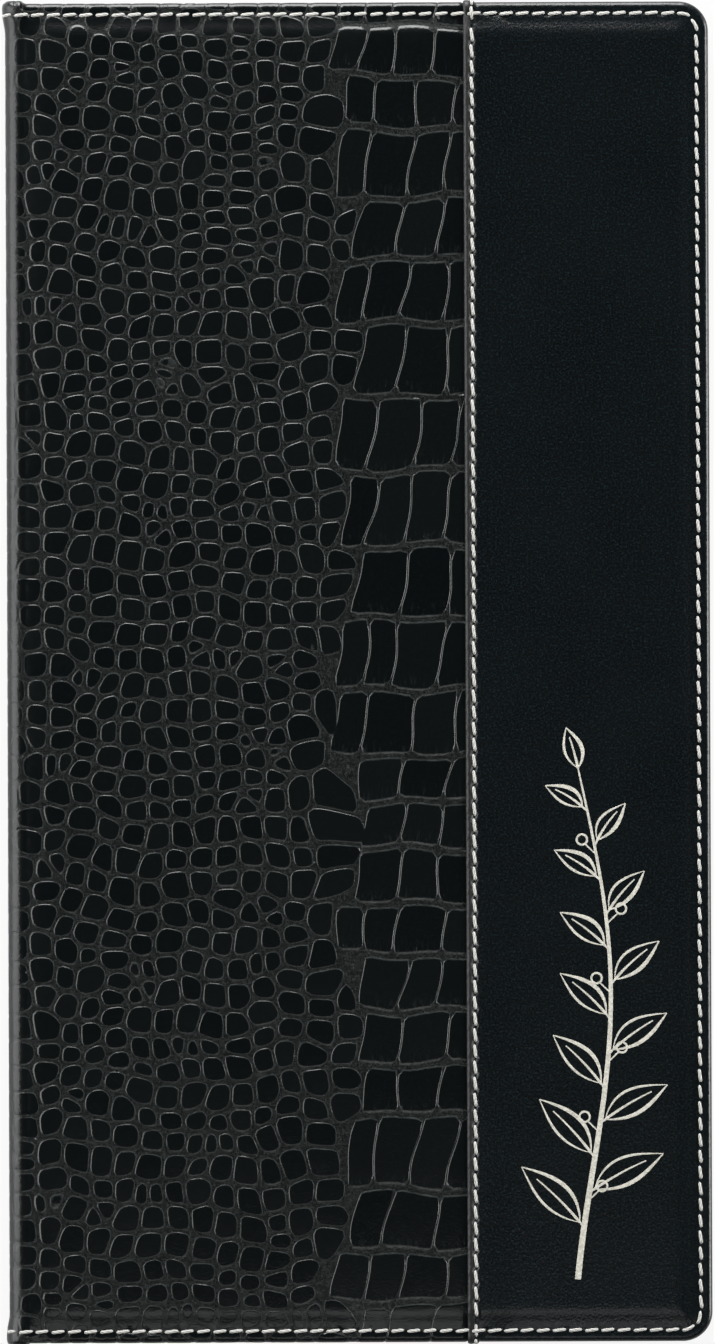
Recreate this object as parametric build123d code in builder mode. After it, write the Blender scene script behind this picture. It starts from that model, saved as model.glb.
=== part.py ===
from build123d import *
import math
import os

# A closed menu cover lying on its back: two padded boards bound in leatherette, joined by a soft spine.
# Frame: +X runs from the spine to the fore edge, +Y to the head, +Z up through the front cover.
# The origin lies on the table under the middle of the closed cover. Millimetres throughout.

# Menu cards, and the margins that the cover keeps round them
card_width = 148.0
card_height = 297.0
card_thickness = 0.3
card_from_spine = 14.0
card_from_edge = 6.0
card_from_head = 17.0

# Cover
cover_width = card_from_spine + card_width + card_from_edge
cover_height = card_from_edge + card_height + card_from_head
corner_radius = 7.1

# Layers of one cover, from the outside in
leather_thickness = 0.9
padding_thickness = 0.7
board_thickness = 1.6
hem_thickness = 0.5
lining_thickness = 0.5
hem_width = 6.0
lining_inset = 1.2
edge_rounding = 1.2
hem_chamfer = 0.3

# Padded field, which begins just inside the stitching
padding_foot_margin = 0.1
padding_slope_width = 2.0

# Spine and its two bending lines
spine_radius = 3.6
board_from_spine = 5.0
bend_radius = 3.22
bend_clearance = 0.05
crease_from_board = 0.55
crease_radius = 0.3
hem_flare = 0.7
hem_flare_height = 5.8

# Lapped seam between the crocodile-grain leather and the smooth panel
smooth_panel_width = 58.5
seam_from_welt = 2.0
lap_width = 8.0
lap_rise = 0.5
lap_fade = 2.5
lap_tongue_thickness = 0.4
welt_nose = 0.45
seam_groove_slope = 0.15

# Thread
stitch_pitch = 3.85
stitch_length = 3.0
thread_width = 0.7
thread_height = 0.45
stitch_inset = 2.8
stitch_slant = 8.0
stitch_side_taper = 25.0
groove_clearance = 0.15
groove_depth = 0.25
inner_thread_height = 0.3
inner_groove_depth = 0.3

# Clear pockets
card_clearance = 0.1
card_side_clearance = 0.5
card_showing_above_mouth = 6.0
film_thickness = 0.2
film_inset = 1.5
film_rim_width = 3.0
film_slope_width = 1.0
ribbon_thickness = 0.15
ribbon_width = 5.0
ribbon_clearance = 0.05
closing_clearance = 0.1

# Heights of the back cover's layers above the table
border_level = padding_thickness
board_level = padding_thickness + leather_thickness
hem_level = board_level + board_thickness
hem_top = hem_level + hem_thickness
lining_top = hem_top + lining_thickness
card_level = lining_top + card_clearance
ribbon_level = card_level + card_thickness + ribbon_clearance
film_level = ribbon_level + ribbon_thickness
ribbon_top = film_level + film_thickness + ribbon_thickness
closed_thickness = 2 * ribbon_top + closing_clearance

# Grooves, as wide as a slanted stitch needs, and the foot of the padding beside them
groove_width = thread_width + stitch_length * math.sin(math.radians(stitch_slant)) + 2 * groove_clearance
seam_groove_width = groove_width + 2 * seam_groove_slope
padding_foot_inset = stitch_inset + groove_width / 2 + padding_foot_margin

# Places across the cover
half_height = cover_height / 2
spine_x = (hem_flare - cover_width) / 2
fore_x = spine_x + cover_width
board_x = spine_x + board_from_spine
welt_x = fore_x - smooth_panel_width
seam_x = welt_x + seam_from_welt
lap_end_x = welt_x + lap_width
arc_x = spine_x + spine_radius
arc_level = border_level + spine_radius
inner_arc_radius = spine_radius - leather_thickness
bend_x = arc_x - bend_radius * math.cos(math.radians(45))
bend_level = arc_level - bend_radius * math.cos(math.radians(45))
card_x = fore_x - card_from_edge - card_width
card_y = card_from_edge - half_height
mouth_y = card_y + card_height - card_showing_above_mouth
film_flat_x = card_x - card_side_clearance
film_x = film_flat_x - film_slope_width - film_rim_width
film_foot_inset = film_inset + film_rim_width
film_flat_inset = film_foot_inset + film_slope_width

MIDDLE = Plane.XY.offset(closed_thickness / 2)


def save(part, name):
    part.label = name
    export_step(part, f"parts/{name}.step")


def outline(inset, left):
    """The cover's outline, inset from its three sewn edges and cut square at x = left."""
    right = fore_x - inset
    half = half_height - inset
    with BuildSketch() as face:
        with BuildLine():
            Polyline((left, -half), (right, -half), (right, half), (left, half), close=True)
        make_face()
        fillet(face.vertices().group_by(Axis.X)[-1], corner_radius - inset)
    return face.sketch


# Back cover's leather

def padded_field(level, depth):
    """The raised field over the padding, from its foot at this level down to its flat at level - depth."""
    with BuildPart() as field:
        with BuildSketch(Plane.XY.offset(level)):
            add(outline(padding_foot_inset, board_x))
        with BuildSketch(Plane.XY.offset(level - depth)):
            add(outline(padding_foot_inset + padding_slope_width, board_x + padding_slope_width))
        loft(ruled=True)
    return field.part


def leather_envelope():
    """Outside of the leather over one board, hems included, with its stitching groove."""
    with BuildPart() as envelope:
        with BuildSketch(Plane.XY.offset(border_level)):
            add(outline(0, board_x))
        extrude(amount=hem_top - border_level)
        fillet(envelope.edges().group_by(Axis.Z)[0].sort_by(Axis.X)[1:], edge_rounding)
        chamfer(envelope.edges().group_by(Axis.Z)[-1].sort_by(Axis.X)[1:], hem_chamfer)
        add(padded_field(border_level, padding_thickness))
        with BuildSketch(Plane.XY.offset(border_level)):
            add(outline(stitch_inset - groove_width / 2, board_x))
            add(outline(stitch_inset + groove_width / 2, board_x), mode=Mode.SUBTRACT)
        extrude(amount=groove_depth, mode=Mode.SUBTRACT)
    return envelope.part


def board_space():
    """Room inside the leather for the padding, the board and, between the hems, the lining."""
    with BuildPart() as space:
        add(padded_field(board_level, padding_thickness))
        with BuildSketch(Plane.XY.offset(board_level)):
            add(outline(leather_thickness, board_x))
        extrude(amount=board_thickness)
        with BuildSketch(Plane.XY.offset(hem_level)):
            add(outline(leather_thickness + hem_width, board_x))
        extrude(amount=hem_thickness)
    return space.part


def arc_angle(radius, offset):
    """Angle at which an arc of the spine's corner meets the bending line, moved aside by an offset."""
    return 225 + math.degrees(math.asin(offset / radius))


def bend_strip(outer_radius, inner_radius, outer_level, inner_level, right, foot):
    """Profile of a cover's sheet from its bending line, round the spine's corner, to x = right."""
    notch_x = bend_x + bend_clearance
    notch_level = bend_level - bend_clearance * math.tan(math.radians(22.5))
    start = 180 + math.degrees(math.acos((arc_x - notch_x) / outer_radius))
    stop = arc_angle(inner_radius, bend_clearance)
    with BuildSketch() as profile:
        with BuildLine():
            outer = CenterArc((arc_x, arc_level), outer_radius, start, 270 - start)
            inner = CenterArc((arc_x, arc_level), inner_radius, stop, 270 - stop)
            Polyline(outer @ 1, (right - foot, outer_level), (right, outer_level + foot),
                     (right, inner_level), inner @ 1)
            Polyline(inner @ 0, (notch_x, notch_level), outer @ 0)
        make_face()
    return profile.sketch


def lining_strip():
    """Profile of the lining's part of the same bend, which lies wholly inside the bending line."""
    outer_radius = inner_arc_radius
    inner_radius = inner_arc_radius - lining_thickness
    start = arc_angle(outer_radius, bend_clearance)
    stop = arc_angle(inner_radius, bend_clearance)
    with BuildSketch() as profile:
        with BuildLine():
            outer = CenterArc((arc_x, arc_level), outer_radius, start, 270 - start)
            inner = CenterArc((arc_x, arc_level), inner_radius, stop, 270 - stop)
            fold_x = board_x - lining_thickness
            Polyline(outer @ 1, (board_x, board_level), (board_x, lining_top), (fold_x, lining_top),
                     (fold_x, board_level + lining_thickness), inner @ 1)
            Line(inner @ 0, outer @ 0)
        make_face()
    return profile.sketch


def hem_bands():
    """Lower and upper end, along y, of each band of the swollen hems, and how far it stands out."""
    channel = hem_flare - thread_height
    channel_foot = half_height - stitch_inset - groove_width / 2
    channel_head = channel_foot + groove_width
    head = [(half_height - hem_flare_height, channel_foot, hem_flare), (channel_foot, channel_head, channel),
            (channel_head, half_height, hem_flare)]
    tail = [(-upper, -lower, flare) for lower, upper, flare in head]
    return head + tail


def spine_side_leather():
    """Leather from the bending line to the board, with the swollen hems at head and tail."""
    with BuildPart() as strip:
        with BuildSketch(Plane.XZ):
            add(bend_strip(spine_radius, inner_arc_radius, border_level, board_level, board_x, 0.0001))
        extrude(amount=half_height, both=True)
        with BuildSketch(Plane.XZ):
            with Locations((board_x - crease_from_board, border_level)):
                Circle(crease_radius)
        extrude(amount=half_height, both=True, mode=Mode.SUBTRACT)
        for lower, upper, flare in hem_bands():
            with BuildSketch(Plane.XZ.offset(-upper)):
                add(bend_strip(spine_radius + flare, inner_arc_radius, border_level - flare,
                               board_level, board_x, flare))
            extrude(amount=upper - lower)
    return strip.part


with BuildPart() as back_skin:
    add(leather_envelope())
    add(board_space(), mode=Mode.SUBTRACT)
    add(spine_side_leather())

# What the leather wraps

with BuildPart() as back_padding:
    add(padded_field(board_level, padding_thickness))

with BuildPart() as back_board:
    with BuildSketch(Plane.XY.offset(board_level)):
        add(outline(leather_thickness, board_x))
    extrude(amount=board_thickness)

with BuildPart() as back_lining:
    with BuildSketch(Plane.XY.offset(hem_top)):
        add(outline(lining_inset, board_x - lining_thickness))
    extrude(amount=lining_thickness)
    with BuildSketch(Plane.XY.offset(hem_level)):
        add(outline(leather_thickness + hem_width, board_x))
    extrude(amount=hem_thickness)
    with BuildSketch(Plane.XZ):
        add(lining_strip())
    extrude(amount=half_height - lining_inset, both=True)
    with BuildSketch(Plane.XY.offset(lining_top)):
        add(outline(stitch_inset - groove_width / 2, board_x))
        add(outline(stitch_inset + groove_width / 2, board_x), mode=Mode.SUBTRACT)
        with Locations((0, mouth_y - cover_height / 2)):
            Rectangle(cover_width + cover_height, cover_height, mode=Mode.SUBTRACT)
    extrude(amount=-inner_groove_depth, mode=Mode.SUBTRACT)


# Clear pocket: a film with a low rim sewn down on three sides, open at the head

def film_tray(level):
    """The film's raised field above this level, sloping down to its rim, and cut off at its mouth."""
    with BuildPart() as tray:
        with BuildSketch(Plane.XY.offset(level)):
            add(outline(film_foot_inset, film_x + film_rim_width))
        with BuildSketch(Plane.XY.offset(level + film_level - lining_top)):
            add(outline(film_flat_inset, film_flat_x))
        loft(ruled=True)
        split(bisect_by=Plane.XZ.offset(-mouth_y), keep=Keep.TOP)
    return tray.part


with BuildPart() as back_pocket_film:
    with BuildSketch(Plane.XY.offset(lining_top)):
        add(outline(film_inset, film_x))
        with Locations((0, mouth_y + cover_height / 2)):
            Rectangle(cover_width + cover_height, cover_height, mode=Mode.SUBTRACT)
    extrude(amount=film_thickness)
    add(film_tray(lining_top + film_thickness))
    add(film_tray(lining_top), mode=Mode.SUBTRACT)

with BuildPart() as back_pocket_ribbon:
    with BuildSketch(Plane.YZ.offset(film_flat_x)):
        with BuildLine():
            Polyline((mouth_y + ribbon_thickness, ribbon_level), (mouth_y + ribbon_thickness, ribbon_top),
                     (mouth_y - ribbon_width, ribbon_top), (mouth_y - ribbon_width, ribbon_level), close=True)
        make_face()
        with BuildLine():
            Polyline((mouth_y, film_level), (mouth_y, film_level + film_thickness),
                     (mouth_y - cover_height, film_level + film_thickness),
                     (mouth_y - cover_height, film_level), close=True)
        make_face(mode=Mode.SUBTRACT)
    extrude(amount=fore_x - film_flat_inset - film_flat_x)

with BuildPart() as back_menu_card:
    with BuildSketch(Plane.XY.offset(card_level)):
        with Locations((card_x, card_y)):
            Rectangle(card_width, card_height, align=(Align.MIN, Align.MIN))
    extrude(amount=card_thickness)


# Spine, half of it drawn and mirrored about the middle of the closed cover

def spine_half(outer_radius, inner_radius):
    """Profile of a spine sheet from its lower bending line to the middle, notched outside that line."""
    notch_level = bend_level + bend_clearance
    notch_x = bend_x + bend_clearance * math.tan(math.radians(22.5))
    if outer_radius > bend_radius:
        start = 180 + math.degrees(math.asin((arc_level - notch_level) / outer_radius))
        notch = [(notch_x, notch_level)]
    else:
        start = 450 - arc_angle(outer_radius, bend_clearance)
        notch = []
    stop = 450 - arc_angle(inner_radius, bend_clearance)
    middle = closed_thickness / 2
    with BuildSketch() as profile:
        with BuildLine():
            outer = CenterArc((arc_x, arc_level), outer_radius, 180, start - 180)
            inner = CenterArc((arc_x, arc_level), inner_radius, 180, stop - 180)
            Polyline(outer @ 1, *notch, inner @ 1)
            Polyline(outer @ 0, (arc_x - outer_radius, middle), (arc_x - inner_radius, middle), inner @ 0)
        make_face()
    return profile.sketch


with BuildPart() as spine_skin:
    with BuildSketch(Plane.XZ):
        add(spine_half(spine_radius, inner_arc_radius))
    extrude(amount=half_height, both=True)
    for lower, upper, flare in hem_bands():
        with BuildSketch(Plane.XZ.offset(-upper)):
            add(spine_half(spine_radius + flare, inner_arc_radius))
        extrude(amount=upper - lower)
    mirror(about=MIDDLE)

with BuildPart() as spine_lining:
    with BuildSketch(Plane.XZ):
        add(spine_half(inner_arc_radius, inner_arc_radius - lining_thickness))
    extrude(amount=half_height - lining_inset, both=True)
    mirror(about=MIDDLE)


# Front cover, which mirrors the back cover's layers

def mirrored(part):
    with BuildPart() as copy:
        mirror(part, about=MIDDLE)
    return copy.part


front_padding = mirrored(back_padding.part)
front_board = mirrored(back_board.part)
front_lining = mirrored(back_lining.part)
front_pocket_film = mirrored(back_pocket_film.part)
front_pocket_ribbon = mirrored(back_pocket_ribbon.part)
front_menu_card = mirrored(back_menu_card.part)


# Lapped seam, drawn like the back cover's layers and mirrored to the front with them

def lap_section(rise):
    """Half of the leather's outside across the cover, from its middle to its head, raised by rise."""
    border = border_level - rise
    edge = half_height + rise
    groove_foot = half_height - stitch_inset - groove_width / 2
    groove_head = groove_foot + groove_width
    foot = half_height - padding_foot_inset
    shoulder = foot - padding_slope_width
    with BuildSketch() as section:
        with BuildLine():
            wall = Line((edge, hem_top), (edge, border + edge_rounding))
            fold = RadiusArc(wall @ 1, (edge - edge_rounding, border), edge_rounding)
            Polyline(fold @ 1, (groove_head, border), (groove_head, border + groove_depth),
                     (groove_foot, border + groove_depth), (groove_foot, border), (foot, border),
                     (shoulder, -rise), (0, -rise), (0, hem_top), wall @ 0)
        make_face()
    return section.sketch


def lap_half(stations):
    """The head half of a strip that runs through lap sections at these places along x."""
    with BuildPart() as strip:
        for x, rise in stations:
            with BuildSketch(Plane.YZ.offset(x)):
                add(lap_section(rise))
        loft(ruled=True)
    return strip.part


nose_angles = (15, 50, 90)
nose = [(welt_x + welt_nose * (1 - math.cos(math.radians(angle))),
         lap_rise - welt_nose * (1 - math.sin(math.radians(angle)))) for angle in nose_angles]
seam_groove = [(seam_x - seam_groove_width / 2, lap_rise),
               (seam_x - seam_groove_width / 2 + seam_groove_slope, lap_rise - groove_depth),
               (seam_x + seam_groove_width / 2 - seam_groove_slope, lap_rise - groove_depth),
               (seam_x + seam_groove_width / 2, lap_rise)]
lap_stations = nose + seam_groove + [(lap_end_x, lap_rise), (lap_end_x + lap_fade, 0)]
tongue_drop = leather_thickness - lap_tongue_thickness

with BuildPart() as tongue:
    add(lap_half([(welt_x, -tongue_drop), (lap_end_x, -tongue_drop)]))
    mirror(about=Plane.XZ)
    add(board_space(), mode=Mode.SUBTRACT)

with BuildPart() as croco_layer:
    add(leather_envelope())
    split(bisect_by=Plane.YZ.offset(welt_x), keep=Keep.BOTTOM)
    add(board_space(), mode=Mode.SUBTRACT)
    add(tongue.part)
    add(spine_side_leather())

with BuildPart() as smooth_layer:
    add(leather_envelope())
    split(bisect_by=Plane.YZ.offset(lap_end_x + lap_fade), keep=Keep.TOP)
    add(lap_half(lap_stations))
    add(lap_half(lap_stations).mirror(Plane.XZ))
    add(board_space(), mode=Mode.SUBTRACT)
    add(tongue.part, mode=Mode.SUBTRACT)

front_croco_skin = mirrored(croco_layer.part)
front_smooth_panel = mirrored(smooth_layer.part)


# Thread: one flattened stitch with tapered ends, set along each seam

def thread(length, height):
    """One stitch lying along +X, seen from its seam, with its foot at the origin."""
    with BuildPart() as stitch:
        with BuildSketch():
            Rectangle(length, thread_width)
        extrude(amount=height, taper=stitch_side_taper)
    return stitch.part


def thread_ridge(length, height):
    """One stitch drawn plainer, as a low ridge along +X."""
    with BuildPart() as stitch:
        with BuildSketch(Plane.YZ):
            Polygon((-thread_width / 2, 0), (thread_width / 2, 0), (0, height), align=None)
        extrude(amount=length / 2, both=True)
    return stitch.part


OUTWARD = {"up": Vector(0, 0, 1), "down": Vector(0, 0, -1), "left": Vector(-1, 0, 0)}


def seat(point, direction, side):
    """Place of a stitch at a point of its seam, turned off the seam's direction by the thread's slant."""
    along = Vector(direction).rotate(Axis((0, 0, 0), OUTWARD[side]), stitch_slant)
    return Plane(origin=point, x_dir=along, z_dir=OUTWARD[side]).location


def edge_seam(first_x):
    """The seam that follows head, fore edge and tail, as evenly spaced points with their directions."""
    edge = half_height - stitch_inset
    fore = fore_x - stitch_inset
    with BuildLine() as seam:
        FilletPolyline((first_x, edge), (fore, edge), (fore, -edge), (first_x, -edge),
                       radius=corner_radius - stitch_inset)
    path = seam.wire()
    count = round(path.length / stitch_pitch)
    return [(path @ ((step + 0.5) / count), path % ((step + 0.5) / count)) for step in range(count)]


def straight_seam(x, low, high):
    """Evenly spaced points of a seam along Y, for as many stitches as fit between two ends."""
    count = math.floor((high - low) / stitch_pitch)
    first = (low + high - (count - 1) * stitch_pitch) / 2
    return [(Vector(x, first + step * stitch_pitch), Vector(0, 1)) for step in range(count)]


def rise_under(x):
    """How far the lapped seam lifts an edge stitch centred at x."""
    reach = stitch_length / 2
    if x + reach < welt_x or x - reach > lap_end_x + lap_fade:
        return 0
    return lap_rise * min(1, (lap_end_x + lap_fade - x + reach) / lap_fade)


def outer_depth(point):
    """Depth of an edge stitch's foot below the flat of the padded field."""
    if point.X < board_x:
        return border_level - hem_flare + thread_height
    return border_level + groove_depth


def inner_level(point):
    """Level of an inner edge stitch's foot: in the lining's groove, on the film's rim, or on the lining."""
    if point.Y > mouth_y + stitch_length:
        return lining_top - inner_groove_depth
    if point.X > film_x - stitch_length / 2:
        return lining_top + film_thickness
    return lining_top


first_stitch_x = arc_x - stitch_length / 2
edge_points = edge_seam(first_stitch_x)
inner_points = edge_seam(board_x)
pocket_points = straight_seam(film_x + film_rim_width / 2, stitch_inset - half_height + stitch_pitch, mouth_y)
seam_end = half_height - padding_foot_inset - padding_slope_width
seam_level = closed_thickness + lap_rise - groove_depth
outer_stitch = thread(stitch_length, thread_height)
back_stitch = thread_ridge(stitch_length, thread_height)
inner_stitch = thread_ridge(stitch_length, inner_thread_height)

with BuildPart() as back_stitching:
    with Locations(*[seat((p.X, p.Y, outer_depth(p)), d, "down") for p, d in edge_points]):
        add(back_stitch)

with BuildPart() as back_inner_stitching:
    with Locations(*[seat((p.X, p.Y, inner_level(p)), d, "up") for p, d in inner_points]):
        add(inner_stitch)

with BuildPart() as back_pocket_stitching:
    with Locations(*[seat((p.X, p.Y, lining_top + film_thickness), d, "up") for p, d in pocket_points]):
        add(inner_stitch)

with BuildPart() as front_stitching:
    with Locations(*[seat((p.X, p.Y, closed_thickness - outer_depth(p) + rise_under(p.X)), d, "up")
                     for p, d in edge_points]):
        add(outer_stitch)

with BuildPart() as front_inner_stitching:
    with Locations(*[seat((p.X, p.Y, closed_thickness - inner_level(p)), d, "down")
                     for p, d in inner_points]):
        add(inner_stitch)

with BuildPart() as front_pocket_stitching:
    with Locations(*[seat((p.X, p.Y, closed_thickness - lining_top - film_thickness), d, "down")
                     for p, d in pocket_points]):
        add(inner_stitch)

with BuildPart() as seam_stitching:
    with Locations(*[seat((p.X, p.Y, seam_level), d, "up")
                     for p, d in straight_seam(seam_x, -seam_end, seam_end)]):
        add(outer_stitch)

with BuildPart() as spine_stitching:
    with Locations(*[seat((spine_x - hem_flare + thread_height, y, closed_thickness / 2), (0, 0, 1), "left")
                     for y in (stitch_inset - half_height, half_height - stitch_inset)]):
        add(outer_stitch)


# Each piece in a file of its own

os.makedirs("parts", exist_ok=True)
save(back_skin.part, "back_skin")
save(back_padding.part, "back_padding")
save(back_board.part, "back_board")
save(back_lining.part, "back_lining")
save(back_pocket_film.part, "back_pocket_film")
save(back_pocket_ribbon.part, "back_pocket_ribbon")
save(back_stitching.part, "back_stitching")
save(back_inner_stitching.part, "back_inner_stitching")
save(back_pocket_stitching.part, "back_pocket_stitching")
save(back_menu_card.part, "back_menu_card")
save(spine_skin.part, "spine_skin")
save(spine_lining.part, "spine_lining")
save(spine_stitching.part, "spine_stitching")
save(front_croco_skin, "front_croco_skin")
save(front_smooth_panel, "front_smooth_panel")
save(front_padding, "front_padding")
save(front_board, "front_board")
save(front_lining, "front_lining")
save(front_pocket_film, "front_pocket_film")
save(front_pocket_ribbon, "front_pocket_ribbon")
save(front_stitching.part, "front_stitching")
save(front_inner_stitching.part, "front_inner_stitching")
save(front_pocket_stitching.part, "front_pocket_stitching")
save(seam_stitching.part, "seam_stitching")
save(front_menu_card, "front_menu_card")
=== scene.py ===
"""Dresses the solids of a closed menu cover: leather, thread, lining, pockets and a printed sprig."""

import math
import random

import bmesh
import bpy
import numpy as np
from bpy.props import FloatProperty, FloatVectorProperty, IntProperty, PointerProperty
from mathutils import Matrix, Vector
from mathutils.geometry import delaunay_2d_cdt


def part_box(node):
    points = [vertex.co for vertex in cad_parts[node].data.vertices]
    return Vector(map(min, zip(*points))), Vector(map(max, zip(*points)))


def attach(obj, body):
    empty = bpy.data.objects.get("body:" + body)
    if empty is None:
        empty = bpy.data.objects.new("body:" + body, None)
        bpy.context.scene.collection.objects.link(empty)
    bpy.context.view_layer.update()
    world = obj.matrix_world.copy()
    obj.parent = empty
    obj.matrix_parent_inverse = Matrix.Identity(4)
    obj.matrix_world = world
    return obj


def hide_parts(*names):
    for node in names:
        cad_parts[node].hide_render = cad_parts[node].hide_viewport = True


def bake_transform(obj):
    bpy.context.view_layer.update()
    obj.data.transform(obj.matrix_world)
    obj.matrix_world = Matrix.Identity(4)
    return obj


bl_info = {
    "name": "Menu cover",
    "version": (1, 0, 0),
    "blender": (4, 5, 0),
    "location": "3D View > Sidebar > Menu cover",
    "description": "Leather, thread, lining, pockets and print for a menu cover",
    "category": "Object",
}

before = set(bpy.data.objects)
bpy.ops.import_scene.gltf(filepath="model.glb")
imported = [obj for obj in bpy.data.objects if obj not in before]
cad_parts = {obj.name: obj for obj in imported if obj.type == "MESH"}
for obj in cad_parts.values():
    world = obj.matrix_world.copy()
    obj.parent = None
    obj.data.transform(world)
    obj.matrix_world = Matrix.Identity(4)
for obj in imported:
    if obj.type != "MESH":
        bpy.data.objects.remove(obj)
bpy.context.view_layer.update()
MM = 0.001


# Sizes that the scene shares with the solids, in millimetres

def face(node, corner, axis):
    """Where a solid ends along one axis: corner 0 is its low side, corner 1 its high side."""
    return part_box(node)[corner][axis] / MM


LEATHER = 0.9
PADDING_DEPTH = 0.7
LINING_DEPTH = 0.5
SPINE_RADIUS = 3.6
CORNER_RADIUS = 7.1
EDGE_ROUND = 1.2
THIN_ROUND = 0.6
BOARD_UNDERCUT = 0.3
HEM_LENGTH = 5.5
HEM_FLARE = 0.7
HEM_SWELL_START = 7.2
HEM_SWELL_SLOPE = 5.4
LAP_RISE = 0.5
LAP_WIDTH = 8.0
LAP_FADE = 2.5
STITCH_INSET = 2.8
TOP = face("front_padding", 1, 2) + LEATHER
FORE_X = face("front_board", 1, 0) + LEATHER
HALF_HEIGHT = face("front_board", 1, 1) + LEATHER
BOARD_X = face("front_board", 0, 0)
SPINE_X = face("spine_skin", 0, 0) + HEM_FLARE
WELT_X = face("front_smooth_panel", 0, 0)
SEAM_X = (face("seam_stitching", 0, 0) + face("seam_stitching", 1, 0)) / 2
ARC_X = SPINE_X + SPINE_RADIUS
MIDDLE = TOP / 2
SHEET_LEFT = ARC_X - SPINE_RADIUS * math.pi / 2 - (MIDDLE - PADDING_DEPTH - SPINE_RADIUS)
FIELD_FOOT = 3.61
FIELD_SLOPE = 4.5
FIELD_FADE = 8.5
WALL_DEPTH = 3.0
THIN_WALL = 1.6
SOFT_WIDTH = 1.3
GROOVE_FLOOR = 0.22
LINING_TOP = face("back_lining", 1, 2)


def eased(t):
    """Smooth step of an array from 0 to 1."""
    t = np.clip(t, 0, 1)
    return t * t * (3 - 2 * t)


def bell(t):
    return np.exp(-t * t)


# The sheet: px and py are places on the flat leather, and lift is the height above it

def outward(px, py):
    """Distance inside the cover's outline, and the direction towards the nearest edge."""
    qx = px - (FORE_X - CORNER_RADIUS)
    qy = np.abs(py) - (HALF_HEIGHT - CORNER_RADIUS)
    corner = (qx > 0) & (qy > 0)
    reach = np.hypot(qx, qy) + 1e-9
    inside = CORNER_RADIUS - np.where(corner, reach, np.maximum(qx, qy))
    ex = np.where(corner, qx / reach, np.where(qx > qy, 1.0, 0.0))
    ey = np.where(corner, qy / reach, np.where(qx > qy, 0.0, 1.0)) * np.sign(py)
    return inside, ex, ey


def inside_edge(px, py):
    return outward(px, py)[0]


def on_board(px):
    """0 on the soft spine, 1 where the board begins."""
    return eased((px - (BOARD_X - SOFT_WIDTH)) / SOFT_WIDTH)


def edge_shape(px):
    """Radius of the fold, depth of the wall and radius under it, from the thin spine to the thick board."""
    board = on_board(px)
    return (THIN_ROUND + (EDGE_ROUND - THIN_ROUND) * board, THIN_WALL + (WALL_DEPTH - THIN_WALL) * board,
            THIN_ROUND - BOARD_UNDERCUT * board)


def sheet_reach(px):
    """How far inside the outline, as a negative distance, the turned-in hem ends."""
    radius, wall, under = edge_shape(px)
    return radius - (radius + under) * math.pi / 2 - np.maximum(wall - radius - under, 0) - HEM_LENGTH


HEM_END = float(sheet_reach(np.array([0.0]))[0])


def folded(px, py, lift):
    """Places of sheet points on the front cover, wrapped round the spine and over the edges."""
    inside, ex, ey = outward(px, py)
    radius, wall, under = edge_shape(px)
    past = np.maximum(radius - inside, 0)
    quarter = math.pi / 2
    straight = np.maximum(wall - radius - under, 0)
    first = np.clip(past / radius, 0, quarter)
    down_wall = np.clip(past - radius * quarter, 0, straight)
    second = np.clip((past - radius * quarter - straight) / under, 0, quarter)
    inwards = np.maximum(past - (radius + under) * quarter - straight, 0)
    out = radius * np.sin(first) - under * (1 - np.cos(second)) - inwards
    down = radius * (1 - np.cos(first)) + down_wall + under * np.sin(second)
    turned = first + second
    bend = np.clip((ARC_X - px) / SPINE_RADIUS, 0, quarter)
    fall = np.maximum(ARC_X - px - SPINE_RADIUS * quarter, 0)
    qx = px - ex * past
    x = np.where(px > ARC_X, qx, ARC_X - SPINE_RADIUS * np.sin(bend))
    z = TOP - PADDING_DEPTH - SPINE_RADIUS * (1 - np.cos(bend)) - fall
    nx = -np.sin(bend)
    nz = np.cos(bend)
    rise = np.cos(turned) * lift - down
    x = x + ex * out + nx * rise + ex * np.sin(turned) * lift
    y = py - ey * past + ey * out + ey * np.sin(turned) * lift
    z = z + nz * rise
    return np.stack([x, y, z], axis=1)


def field_lift(px, py):
    """Height of the padded field over the border, and of the swollen hems on the spine."""
    inside = inside_edge(px, py)
    field = eased((inside - FIELD_FOOT) / FIELD_SLOPE) * eased((px - BOARD_X + 2.5) / FIELD_FADE)
    hem = HEM_FLARE * (1 - on_board(px)) * eased((HEM_SWELL_START - inside) / HEM_SWELL_SLOPE)
    crease = 0.05 * bell((px - (BOARD_X - 0.6)) / 0.5) * eased((inside - 4.5) / 2)
    return PADDING_DEPTH * field + hem - crease


# Points, triangles and meshes

def spaced(points, others, gap):
    """Those of the points that keep a gap from the others and from each other."""
    taken = {}
    for x, y in others:
        taken.setdefault((math.floor(x / gap), math.floor(y / gap)), []).append((x, y))
    kept = []
    for x, y in points:
        cx, cy = math.floor(x / gap), math.floor(y / gap)
        near = [p for ix in (cx - 1, cx, cx + 1) for iy in (cy - 1, cy, cy + 1)
                for p in taken.get((ix, iy), ())]
        if all((x - a) ** 2 + (y - b) ** 2 > gap * gap for a, b in near):
            kept.append((x, y))
            taken.setdefault((cx, cy), []).append((x, y))
    return kept


def triangulated(points, lines=()):
    """Delaunay triangles between points of the flat sheet that keep to the lines between them."""
    made = delaunay_2d_cdt([Vector((x, y)) for x, y in points], list(lines), [], 0, 1e-5, False)
    corners = np.array([(v.x, v.y) for v in made[0]])
    return corners, np.array([f for f in made[2] if len(f) == 3], dtype=int)


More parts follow.
